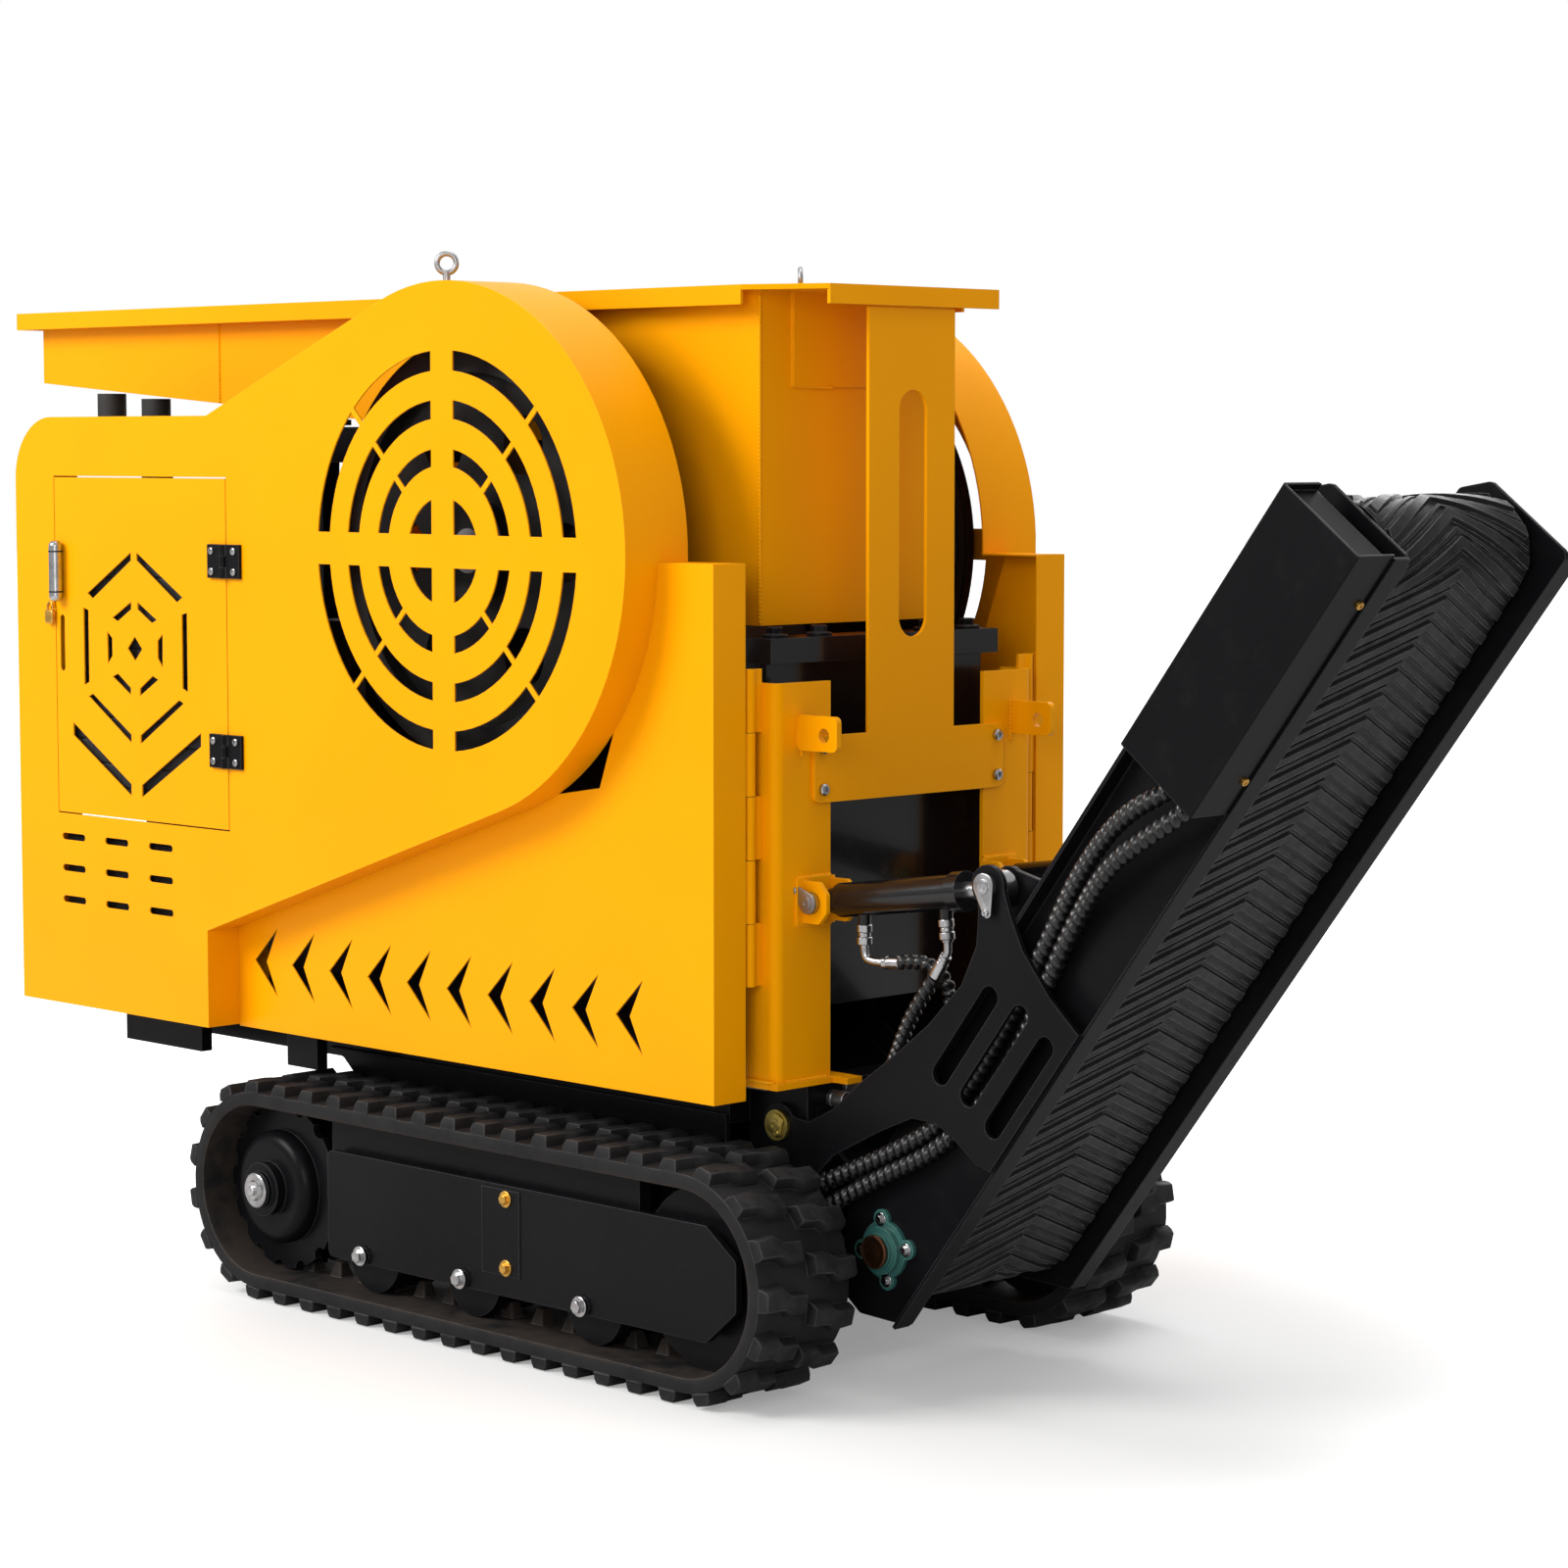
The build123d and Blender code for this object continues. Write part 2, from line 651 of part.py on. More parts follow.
arrow_pitch = 99.5
arrow = ((0, 0), (62, 59), (32, 0), (62, -59))
panel_bottom_z = 441
with BuildPart() as lower_panel_near:
    drum_edge_x = drum_x + (drum_r**2 - (panel_top_z - drum_z) ** 2) ** 0.5
    with BuildSketch(Plane.XZ.offset(panel_y)) as panel:
        with BuildLine():
            Polyline(
                (step_x, panel_bottom_z),
                (panel_front_x, panel_bottom_z),
                (panel_front_x, panel_top_z),
                (drum_edge_x - sheet, panel_top_z),
                (drum_edge_x - 130, 900),
                (0, 870),
                (step_x, 650),
                close=True,
            )
        make_face()
        for index in range(10):
            with Locations((-673 + index * arrow_pitch, 557)):
                Polygon(*arrow, align=None, mode=Mode.SUBTRACT)
    extrude(panel.sketch, amount=-sheet)
    front_edge = (panel_front_x - sheet, panel_front_x)
    block(front_edge, (-panel_y, -326), (panel_bottom_z, panel_top_z))
    block((drum_edge_x, panel_front_x), (-panel_y, -326), (panel_top_z - sheet, panel_top_z))
    block((428, 434), (-panel_y, -hinge_y), hinge_z)
    for index in (0, 2, 4):
        low = hinge_z[0] + index * knuckle
        block((420, 434.5), (-326, -297), (low - 0.5, low + knuckle + 0.5), mode=Mode.SUBTRACT)
    for index in (1, 3):
        with Locations((hinge_x, -hinge_y, hinge_z[0] + (index + 0.5) * knuckle)):
            Cylinder(9, knuckle - 1)
    with Locations((hinge_x, -hinge_y, sum(hinge_z) / 2)):
        Cylinder(5.05, 480, mode=Mode.SUBTRACT)
lower_panel_far = far_twin(lower_panel_near)

eye_x, eye_y = -161, -393
with BuildPart() as lifting_eye_near:
    with Locations((eye_x, eye_y, 1671)):
        Cylinder(12, 8)
    with Locations((eye_x, eye_y, 1677)):
        Cylinder(6, 26)
    with Locations(Plane(origin=(eye_x, eye_y, 1703), z_dir=(1, -1, 0))):
        Torus(15, 4.5)
    rod((drum_x, drum_z), drum_r, (-420, -360), mode=Mode.SUBTRACT)
lifting_eye_far = far_twin(lifting_eye_near)

door_mid_x = (door_x[0] + door_x[1]) / 2 - 14
door_mid_z = 1074
# Corners of the left-hand slots of the web pattern, from its centre
web_slots = (
    ((-8, 164), (-8, 150), (-121, 82), (-137, 91)),
    ((-149, 66), (-134, 62), (-134, -62), (-149, -68)),
    ((-137, -87), (-124, -82), (-13, -147), (-13, -162)),
    ((-184, -134), (-184, -157), (-15, -253), (-15, -232)),
    ((-9, 80), (-9, 67), (-49, 45), (-64, 51)),
    ((-80, 28), (-65, 16), (-65, -14), (-79, -30)),
    ((-66, -50), (-50, -44), (-13, -67), (-13, -80)),
)
with BuildPart() as engine_door_near:
    with BuildSketch(cover_view) as leaf:
        with Locations(((door_x[0] + door_x[1]) / 2, (door_z[0] + door_z[1]) / 2)):
            Rectangle(door_x[1] - door_x[0], door_z[1] - door_z[0])
        with Locations((door_mid_x, door_mid_z)):
            for corners in web_slots:
                for side in (-1, 1):
                    Polygon(*[(side * x, z) for x, z in corners], align=None, mode=Mode.SUBTRACT)
            Rectangle(30, 30, rotation=45, mode=Mode.SUBTRACT)
        with Locations((-1124, 1077)):
            SlotOverall(98, 14, rotation=90, mode=Mode.SUBTRACT)
    extrude(leaf.sketch, amount=-sheet)
    for x in (door_x[0], door_x[1] - sheet):
        block((x, x + sheet), (-cover_y + sheet, -cover_y + 20), door_z)
    for z in (door_z[0], door_z[1] - sheet):
        block(door_x, (-cover_y + sheet, -cover_y + 20), (z, z + sheet))
engine_door_far = far_twin(engine_door_near)

knuckle_y = -cover_y - 7
with BuildPart() as cover_hinge_leaves_near:
    for z in door_hinge_z:
        block((door_x[1] + 8, door_x[1] + 43), (-cover_y - 6, -cover_y), (z - 28, z + 28))
        for low in (z - 28, z + 10):
            block((door_x[1] + 1, door_x[1] + 9), (knuckle_y, -cover_y - 1), (low, low + 18))
            with Locations((door_x[1] + 1, knuckle_y, low + 9)):
                Cylinder(6, 18)
        with Locations((door_x[1] + 1, knuckle_y, z)):
            Cylinder(3, 56)
cover_hinge_leaves_far = far_twin(cover_hinge_leaves_near)

with BuildPart() as door_hinge_leaves_near:
    for z in door_hinge_z:
        block((door_x[1] - 43, door_x[1] - 6), (-cover_y - 6, -cover_y), (z - 28, z + 28))
        block((door_x[1] - 7, door_x[1] - 3), (knuckle_y, -cover_y - 1), (z - 9, z + 9))
        with Locations((door_x[1] + 1, knuckle_y, z)):
            Cylinder(6, 18)
            Cylinder(3.05, 18, mode=Mode.SUBTRACT)
door_hinge_leaves_far = far_twin(door_hinge_leaves_near)

handle_x, handle_top_z = -1123, 1255
with BuildPart() as door_handle_near:
    with Locations((handle_x, -cover_y - 13, 1202)):
        Cylinder(12, 106)
    fillet(door_handle_near.edges(), radius=10)
    with Locations((handle_x, -cover_y - 13, handle_top_z - 6)):
        Cylinder(5, 20, rotation=(0, 90, 0))
door_handle_far = far_twin(door_handle_near)

# ---- conveyor -----------------------------------------------------------------------------
flange_start = 330
with BuildPart() as conveyor_frame:
    rail = [
        (-118, -20), (-60, frame_front), (frame_end, frame_front), (frame_end, 60),
        (frame_end - 40, frame_back), (0, frame_back), (-118, 40),
    ]
    plate(rail, (-rail_y - 1, -rail_y + 5), view=conveyor_plane, round_by=12)
    strips = (
        ((-60, frame_front), (frame_end, frame_front + 6)),
        ((flange_start, frame_back - 6), (frame_end - 40, frame_back)),
    )
    for (s0, n0), (s1, n1) in strips:
        corners = [(s0, n0), (s1, n0), (s1, n1), (s0, n1)]
        plate(corners, (-flange_y, -rail_y), view=conveyor_plane)
    for end in (0, head_s):
        rod((end, 0), 24, (-rail_y - 2, -rail_y + 6), view=conveyor_plane, mode=Mode.SUBTRACT)
    mirror(about=Plane.XZ)
    # Cross members and the bed that the top run slides on
    for s in (180, 520, 860, 1180):
        rod((s, 0), 17, (-rail_y + 4, rail_y - 4), view=conveyor_plane)
    bed_top = drum_radius - 1
    bed = [(110, bed_top - 5), (1230, bed_top - 5), (1230, bed_top), (110, bed_top)]
    plate(bed, (-rail_y + 4, rail_y - 4), view=conveyor_plane)

pivot_s, pivot_n = local(pivot_x, pivot_z)
rod_s, rod_n = local(rod_x, rod_z)
arm_outline = [
    (619, 150), (588, 101), (565, 54), (547, -25), (542, -97), (268, -97), (258, -70),
    (256, -14), (250, 22), (222, 62), (154, 100), (61, 144), (10, 152), (-12, 175),
    (-12, pivot_n), (48, pivot_n - 12), (66, 212), (120, 186), (191, 170), (271, 145),
    (354, 123), (446, 111), (510, 124), (546, 147), (563, rod_n),
]
with BuildPart() as arm_plates:
    with BuildSketch(conveyor_plane.offset(flange_y)) as arm:
        with BuildLine():
            Polyline(*arm_outline, close=True)
        make_face()
        with Locations((rod_s, rod_n)):
            Circle(31)
        with Locations((pivot_s, pivot_n)):
            Circle(33)
        for s0, s1, n in ((298, 485, 60), (311, 503, 1), (308, 500, -62)):
            with Locations(((s0 + s1) / 2, n)):
                SlotOverall(s1 - s0, 33, mode=Mode.SUBTRACT)
    extrude(arm.sketch, amount=8)
    # Inner ears that carry the lift rods' pins
    ear = [(rod_s - 26, rod_n), (rod_s - 60, 85), (rod_s + 60, 85), (rod_s + 26, rod_n)]
    plate(ear, (-180, -172), view=conveyor_plane)
    rod((rod_s, rod_n), 26, (-180, -172), view=conveyor_plane)
    block_y = (-flange_y, -rail_y - 1)
    plate([(490, 60), (535, 60), (535, 91), (490, 91)], block_y, view=conveyor_plane)
    rod((pivot_s, pivot_n), 16.0, (-226, -216), view=conveyor_plane, mode=Mode.SUBTRACT)
    rod((rod_s, rod_n), 9, (-230, -170), view=conveyor_plane, mode=Mode.SUBTRACT)
    mirror(about=Plane.XZ)

with BuildPart() as rod_pins:
    rod((rod_s, rod_n), 8.95, (-232, -170), view=conveyor_plane)
    rod((rod_s, rod_n), 16, (-232, -225.1), view=conveyor_plane)
    mirror(about=Plane.XZ)

belt_inner = drum_radius + 0.4
belt_outer = belt_inner + 8
with BuildPart() as conveyor_belt:
    with BuildSketch(conveyor_plane.offset(-belt_width / 2)) as belt_section:
        with Locations((head_s / 2, 0)):
            SlotCenterToCenter(head_s, 2 * (belt_outer + 5))
            SlotCenterToCenter(head_s, 2 * belt_inner, mode=Mode.SUBTRACT)
    extrude(belt_section.sketch, amount=belt_width)


def turned_drum(at_s):
    """Belt drum with its shaft, centred on the conveyor's drum line."""
    with BuildPart() as drum:
        rod((at_s, 0), drum_radius, (-166, 166), view=conveyor_plane)
        rod((at_s, 0), 17.5, (-212, 212), view=conveyor_plane)
    return drum


tail_drum = turned_drum(0)
head_drum = turned_drum(head_s)

with BuildPart() as conveyor_bearings:
    for s in (0, head_s):
        for inner, outer, radius in ((186.2, 194, 44), (194, 204, 36), (204, 210, 27)):
            rod((s, 0), radius, (-outer, -inner), view=conveyor_plane)
        with BuildSketch(conveyor_plane.offset(186.2)) as flange:
            with Locations((s, 0)):
                with PolarLocations(46, 4, start_angle=45):
                    Circle(15)
        extrude(flange.sketch, amount=7)
        rod((s, 0), 17.56, (-211, -186), view=conveyor_plane, mode=Mode.SUBTRACT)
    mirror(about=Plane.XZ)

guard_s = (960, 1410)
guard_n = (-99, 57)
guard_y = (-297, -flange_y)
with BuildPart() as motor_guard:
    middle = conveyor_plane.from_local_coords((sum(guard_s) / 2, sum(guard_n) / 2, 257))
    length, depth = guard_s[1] - guard_s[0], guard_n[1] - guard_n[0]
    with Locations(Plane(origin=middle, x_dir=conveyor_plane.x_dir, z_dir=(0, -1, 0))):
        Box(length, depth, guard_y[1] - guard_y[0])
        fillet(motor_guard.edges().filter_by(Axis(middle, conveyor_plane.x_dir)), radius=4)
    with Locations(Plane(origin=middle, x_dir=conveyor_plane.x_dir, z_dir=(0, -1, 0))):
        with Locations((0, 0, -4)):
            Box(length + 10, depth - 8, guard_y[1] - guard_y[0], mode=Mode.SUBTRACT)
    lid = [(1396, -96), (1400, -96), (1400, 54), (1396, 54)]
    plate(lid, (-294, -221), view=conveyor_plane)

hose_end_s = 1030
with BuildPart() as drum_motor:
    rod((head_s, 0), 45, (-268, -213), view=conveyor_plane)
    motor = [(1200, -30), (1320, -30), (1320, 30), (1200, 30)]
    plate(motor, (-262, -219), view=conveyor_plane)
    ports = [(hose_end_s, -90), (hose_end_s + 40, -90), (hose_end_s + 40, -20), (hose_end_s, -20)]
    plate(ports, (-286, -244), view=conveyor_plane)

# ---- lift cylinders -----------------------------------------------------------------------
# The rod's eye sits slightly off the pin at rest, which halves its error over the whole fold.
base_to_rod = hypot(rod_x - base_x, rod_z - base_z)
lift_tilt = degrees(atan2(rod_z - base_z, rod_x - base_x) - 6 / base_to_rod)
lift_length = base_to_rod - 2
lift_plane = Plane(
    origin=(base_x, 0, base_z),
    x_dir=(cos(radians(lift_tilt)), 0, sin(radians(lift_tilt))),
    z_dir=(0, -1, 0),
)
barrel_end = 286


def round_along(start, end, radius, mode=Mode.ADD):
    """Round bar or bore along the near cylinder's axis."""
    cross = Plane(
        origin=lift_plane.from_local_coords((start, 0, lift_y)), z_dir=lift_plane.x_dir
    )
    with BuildSketch(cross) as section:
        Circle(radius)
    extrude(section.sketch, amount=end - start, mode=mode)


with BuildPart() as lift_barrels:
    rod((base_x, base_z), 17, (-224, -176))
    round_along(14, 30, 20)
    round_along(30, barrel_end - 22, 26)
    round_along(barrel_end - 22, barrel_end, 30)
    for port in (76, 243):
        where = lift_plane.from_local_coords((port, 0, lift_y))
        with Locations((where.X + 1, where.Y, where.Z - 30)):
            Cylinder(10, 18)
    rod((base_x, base_z), 12.0, (-226, -174), mode=Mode.SUBTRACT)
    round_along(40, barrel_end + 1, 14.05, mode=Mode.SUBTRACT)
    mirror(about=Plane.XZ)

with BuildPart() as lift_rods:
    round_along(44, lift_length - 20, 14)
    rod((lift_length, 0), 28, (-212, -188), view=lift_plane)
    rod((lift_length, 0), 18, (-213, -187), view=lift_plane, mode=Mode.SUBTRACT)
    mirror(about=Plane.XZ)

# ---- hoses --------------------------------------------------------------------------------
motor_hose_a_route = [
    (1255.4, -265, 1011.6), (1211.6, -265, 954.8), (1138, -262, 925), (1073, -247, 882), (999, -228, 808),
    (931, -203, 718), (864, -201, 611), (791, -201, 506), (717, -201, 423), (640, -201, 380),
    (560, -201, 342), (477, -203, 306), (400, -205, 276), (334, -205, 276),
]
motor_hose_b_route = [
    (1284, -265, 989.7), (1238.3, -265, 930.5), (1172, -262, 893), (1076, -247, 839), (978, -209, 740),
    (919, -201, 640), (873, -201, 550), (811, -201, 471), (745, -201, 412), (691, -201, 374),
    (609, -201, 336), (526, -201, 292), (454, -203, 254), (388, -205, 236), (334, -205, 236),
]
lift_hose_base_route = [
    (625, -192, 655), (659, -188, 661), (692, -183, 652), (714, -180, 629), (721, -179, 598),
    (715, -179, 565), (694, -179, 528), (663, -178, 486), (614, -173, 452), (558, -165, 432),
    (505, -160, 428), (455, -160, 428),
]
lift_hose_rod_route = [
    (708, -203, 641), (686, -205, 612), (656, -204, 570), (628, -197, 522), (590, -177, 480),
    (545, -148, 452), (505, -125, 440), (455, -125, 440),
]


def hose(route, diameter):
    """Tube along straight runs joined by arcs as large as the runs allow."""
    points = [Vector(*point) for point in route]
    radii = []
    for before, here, after in zip(points, points[1:], points[2:]):
        turn = radians((here - before).get_angle(after - here))
        shorter = min((here - before).length, (after - here).length)
        radii.append(0.45 * shorter / ((1 - cos(turn)) / sin(turn)))
    with BuildLine() as path:
        FilletPolyline(*points, radius=radii)
    with BuildPart() as tube:
        with BuildSketch(Plane(origin=points[0], z_dir=points[1] - points[0])):
            Circle(diameter / 2)
        sweep(path=path.wires()[0])
    length = path.wires()[0].length
    filled = tube.part.volume / (pi * diameter**2 / 4 * length)
    print("hose", round(length), "mm, smallest radius", round(min(radii)), "filled", round(filled, 4))
    return tube


motor_hose_a = hose(motor_hose_a_route, 27)
motor_hose_b = hose(motor_hose_b_route, 27)
lift_hose_base = hose(lift_hose_base_route, 22)
lift_hose_rod = hose(lift_hose_rod_route, 22)

# ---- output -------------------------------------------------------------------------------
pieces = {
    "main_frame": main_frame,
    "belly_skirts": belly_skirts,
    "track_frames": track_frames,
    "rubber_track_near": rubber_track_near,
    "rubber_track_far": rubber_track_far,
    "sprocket_near": sprocket_near,
    "sprocket_far": sprocket_far,
    "idler_near": idler_near,
    "idler_far": idler_far,
    "track_rollers_rear": track_rollers[0],
    "track_rollers_middle": track_rollers[1],
    "track_rollers_front": track_rollers[2],
    "front_posts": front_posts,
    "lock_ears": lock_ears,
    "post_hinges": post_hinges,
    "yoke_plate": yoke_plate,
    "cylinder_brackets": cylinder_brackets,
    "chassis_pins": chassis_pins,
    "hopper": hopper,
    "feeder_mounts": feeder_mounts,
    "feeder_frame": feeder_frame,
    "crusher_frame": crusher_frame,
    "shaft_bearings": shaft_bearings,
    "eccentric_shaft": eccentric_shaft,
    "flywheel_near": flywheel_near,
    "flywheel_far": flywheel_far,
    "swing_jaw": swing_jaw,
    "swing_jaw_plate": swing_jaw_plate,
    "fixed_jaw_plate": fixed_jaw_plate,
    "toggle_plate": toggle_plate,
    "discharge_chute": discharge_chute,
    "engine_pulley": engine_pulley,
    "drive_belts": drive_belts,
    "diesel_engine": diesel_engine,
    "radiator": radiator,
    "fluid_tanks": fluid_tanks,
    "side_cover_near": side_cover_near,
    "side_cover_far": side_cover_far,
    "lower_panel_near": lower_panel_near,
    "lower_panel_far": lower_panel_far,
    "lifting_eye_near": lifting_eye_near,
    "lifting_eye_far": lifting_eye_far,
    "cover_hinge_leaves_near": cover_hinge_leaves_near,
    "cover_hinge_leaves_far": cover_hinge_leaves_far,
    "engine_door_near": engine_door_near,
    "engine_door_far": engine_door_far,
    "door_hinge_leaves_near": door_hinge_leaves_near,
    "door_hinge_leaves_far": door_hinge_leaves_far,
    "door_handle_near": door_handle_near,
    "door_handle_far": door_handle_far,
    "conveyor_frame": conveyor_frame,
    "arm_plates": arm_plates,
    "rod_pins": rod_pins,
    "conveyor_belt": conveyor_belt,
    "tail_drum": tail_drum,
    "head_drum": head_drum,
    "conveyor_bearings": conveyor_bearings,
    "motor_guard": motor_guard,
    "drum_motor": drum_motor,
    "lift_barrels": lift_barrels,
    "lift_rods": lift_rods,
    "motor_hose_a": motor_hose_a,
    "motor_hose_b": motor_hose_b,
    "lift_hose_base": lift_hose_base,
    "lift_hose_rod": lift_hose_rod,
}
os.makedirs("parts", exist_ok=True)
for name, piece in pieces.items():
    piece.part.label = name
    export_step(piece.part, f"parts/{name}.step")
print(len(pieces), "pieces")
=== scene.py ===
import json
from math import atan2, cos, pi, radians, sin

import bpy
from mathutils import Matrix, Vector


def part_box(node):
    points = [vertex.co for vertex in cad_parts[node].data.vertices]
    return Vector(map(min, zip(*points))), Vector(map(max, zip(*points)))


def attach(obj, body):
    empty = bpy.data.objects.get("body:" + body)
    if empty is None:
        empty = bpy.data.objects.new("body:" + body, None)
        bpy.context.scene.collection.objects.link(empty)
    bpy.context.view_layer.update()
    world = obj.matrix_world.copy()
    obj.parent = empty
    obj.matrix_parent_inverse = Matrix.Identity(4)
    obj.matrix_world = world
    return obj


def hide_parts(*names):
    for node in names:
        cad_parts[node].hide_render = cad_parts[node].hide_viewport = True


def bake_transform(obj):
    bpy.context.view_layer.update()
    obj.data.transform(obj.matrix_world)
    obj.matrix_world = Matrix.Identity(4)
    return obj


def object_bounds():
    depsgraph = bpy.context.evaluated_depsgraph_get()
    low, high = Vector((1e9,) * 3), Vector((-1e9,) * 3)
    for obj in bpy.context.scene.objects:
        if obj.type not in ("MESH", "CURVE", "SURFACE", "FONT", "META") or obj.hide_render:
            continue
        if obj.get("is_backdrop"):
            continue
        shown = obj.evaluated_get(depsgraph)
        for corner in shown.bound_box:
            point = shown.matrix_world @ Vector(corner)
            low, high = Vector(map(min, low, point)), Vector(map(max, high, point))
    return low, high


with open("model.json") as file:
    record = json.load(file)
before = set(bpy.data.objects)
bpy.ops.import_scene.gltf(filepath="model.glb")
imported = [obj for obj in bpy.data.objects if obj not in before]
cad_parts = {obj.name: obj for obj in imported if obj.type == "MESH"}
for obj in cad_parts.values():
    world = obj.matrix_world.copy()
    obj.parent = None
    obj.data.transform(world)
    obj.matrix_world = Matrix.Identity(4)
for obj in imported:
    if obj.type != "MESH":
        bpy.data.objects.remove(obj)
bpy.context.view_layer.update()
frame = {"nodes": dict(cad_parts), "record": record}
print("frame loaded,", len(frame["nodes"]), "parts")


def middleOf(node):
    low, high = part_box(node)
    return (low + high) / 2


class Wire:  # a shader value that Python's own operators work on
    def __init__(self, finish, socket):
        self.finish, self.socket = finish, socket

    def maths(self, operation, *values):
        return self.finish.node("Math", {"operation": operation}, *values)

    def __add__(self, other):
        return self.maths("ADD", self, other)

    def __sub__(self, other):
        return self.maths("SUBTRACT", self, other)

    def __rsub__(self, other):
        return self.maths("SUBTRACT", other, self)

    def __mul__(self, other):
        return self.maths("MULTIPLY", self, other)

    def __pow__(self, other):
        return self.maths("POWER", self, other)

    __radd__, __rmul__ = __add__, __mul__

    def atLeast(self, other):
        return self.maths("MAXIMUM", self, other)

    def absolute(self):
        return self.maths("ABSOLUTE", self)

    def rise(self, low, high):  # 0 below low, 1 above high
        settings = {"interpolation_type": "SMOOTHSTEP", "clamp": True}
        return self.finish.node("MapRange", settings, self, low, high, 0.0, 1.0)


class Finish:  # one material and its nodes
    def __init__(self, name, **fixed):
        self.material = bpy.data.materials.new(name)
        self.material.use_nodes = True
        self.tree = self.material.node_tree
        self.shader = self.tree.nodes["Principled BSDF"]
        self.feed(self.shader, fixed)
        self.place = self.node("TexCoord", {}, out="Object")

    def feed(self, node, values):
        for name, value in values.items():
            if isinstance(value, Wire):
                self.tree.links.new(value.socket, node.inputs[name])
            elif value is not None:
                node.inputs[name].default_value = value

    def node(self, kind, settings, *values, out=0, **named):
        made = self.tree.nodes.new("ShaderNode" + kind)
        for name, value in settings.items():
            setattr(made, name, value)
        self.feed(made, dict(enumerate(values)))
        self.feed(made, {name.replace("_", " "): value for name, value in named.items()})
        return Wire(self, made.outputs[out])

    def noise(self, scale, detail=3.0, rough=0.55, along=None):
        return self.node("TexNoise", {}, Vector=along or self.place, Scale=scale, Detail=detail, Roughness=rough)

    def blendOf(self, share, first, second):
        return self.node("Mix", {"data_type": "RGBA"}, share, None, None, None, None, None, first, second, out=2)

    def bumpy(self, height, distance, strength=1.0, under=None):
        return self.node("Bump", {}, Height=height, Distance=distance, Strength=strength, Normal=under)

    def roundedEdges(self, radius):
        return self.node("Bevel", {"samples": 4}, Radius=radius)

    def onEdges(self, rounded):  # 1 along sharp edges, where the rounded normal leaves the face's own
        flat = self.node("NewGeometry", {}, out="Normal")
        alike = self.node("VectorMath", {"operation": "DOT_PRODUCT"}, rounded, flat, out="Value")
        return (1 - alike).rise(0.004, 0.07)

    def wear(self, **values):
        self.feed(self.shader, {name.replace("_", " "): value for name, value in values.items()})
        return self.material


def rgb(red, green, blue):
    return red, green, blue, 1.0


def paint(name, looks):  # sprayed paint: two close tones, orange peel and a painted highlight along sharp edges
    finish = Finish(name, **{
        "Coat Roughness": looks["coatRough"], "Specular IOR Level": looks["specular"],
        "Specular Tint": looks.get("tint", rgb(1, 1, 1)),
    })
    cloud = finish.noise(2.2, 2.0)
    dust = finish.noise(26, 5.0, 0.7).rise(0.5, 0.78)
    colour = finish.blendOf(cloud.rise(0.35, 0.65), looks["colour"], looks["second"])
    colour = finish.blendOf(dust * looks["dust"], colour, looks["dustColour"])
    rounded = finish.roundedEdges(looks["edge"])
    # painted highlight: a lighter colour laid along sharp edges, where rounded edges would catch the light
    colour = finish.blendOf(finish.onEdges(rounded) * looks["highlightShare"], colour, looks["highlightColour"])
    peel = finish.bumpy(finish.noise(260, 2.0), looks["peel"], 0.6, rounded)
    return finish.wear(
        Base_Color=colour, Roughness=looks["rough"] + dust * 0.12, Coat_Weight=looks["coat"], Normal=peel
    )


def metal(name, looks):  # turned or plated metal with fine marks
    finish = Finish(name, **{"Metallic": 1.0})
    stain = finish.noise(looks["grain"], 4.0, 0.6)
    colour = finish.blendOf(stain.rise(0.35, 0.7), looks["colour"], looks["second"])
    marks = finish.bumpy(finish.noise(900, 2.0), 0.00008, 0.5, finish.roundedEdges(0.0008))
    return finish.wear(Base_Color=colour, Roughness=looks["rough"] + stain * looks["spread"], Normal=marks)


def loopDistance(finish, first, second):  # how far a point is from a belt loop's centre line
    turned = atan2(second.z - first.z, second.x - first.x)
    centre = (first + second) / 2
    along = finish.node("VectorMath", {"operation": "SUBTRACT"}, finish.place, tuple(centre))
    along = finish.node("VectorRotate", {"rotation_type": "Y_AXIS"}, Vector=along, Angle=turned)
    x, z = (finish.node("SeparateXYZ", {}, along, out=axis) for axis in ("X", "Z"))
    past = (x.absolute() - (second - first).length / 2).atLeast(0.0)
    return (past * past + z * z) ** 0.5


def loopRubber(name, first, second, looks):  # rubber that is dusty inside the loop, scuffed on its ribs and given a painted highlight along sharp edges
    finish = Finish(name, **{"Specular IOR Level": 0.12})
    reach = loopDistance(finish, first, second)
    patches = finish.noise(13, 5.0, 0.65)
    inside = (1 - reach.rise(looks["inner"], looks["outer"])) * patches.rise(0.3, 0.62)
    scuffed = reach.rise(looks["ribFoot"], looks["ribTop"]) * finish.noise(42, 4.0).rise(0.3, 0.7)
    colour = finish.blendOf(patches.rise(0.3, 0.7), looks["colour"], looks["second"])
    colour = finish.blendOf(scuffed * looks["scuff"], colour, looks["scuffColour"])
    colour = finish.blendOf(inside * looks["dust"], colour, looks["dustColour"])
    rounded = finish.roundedEdges(looks["edge"])
    # painted highlight along sharp edges, broken up by noise
    edgeHighlight = finish.onEdges(rounded) * finish.noise(30, 3.0).rise(0.2, 0.6)
    colour = finish.blendOf(edgeHighlight * looks["edgeHighlight"], colour, looks["edgeHighlightColour"])
    grain = finish.bumpy(finish.noise(320, 3.0), 0.0004, 0.7, rounded)
    return finish.wear(Base_Color=colour, Roughness=looks["rough"] + inside * 0.25 - scuffed * 0.08, Normal=grain)


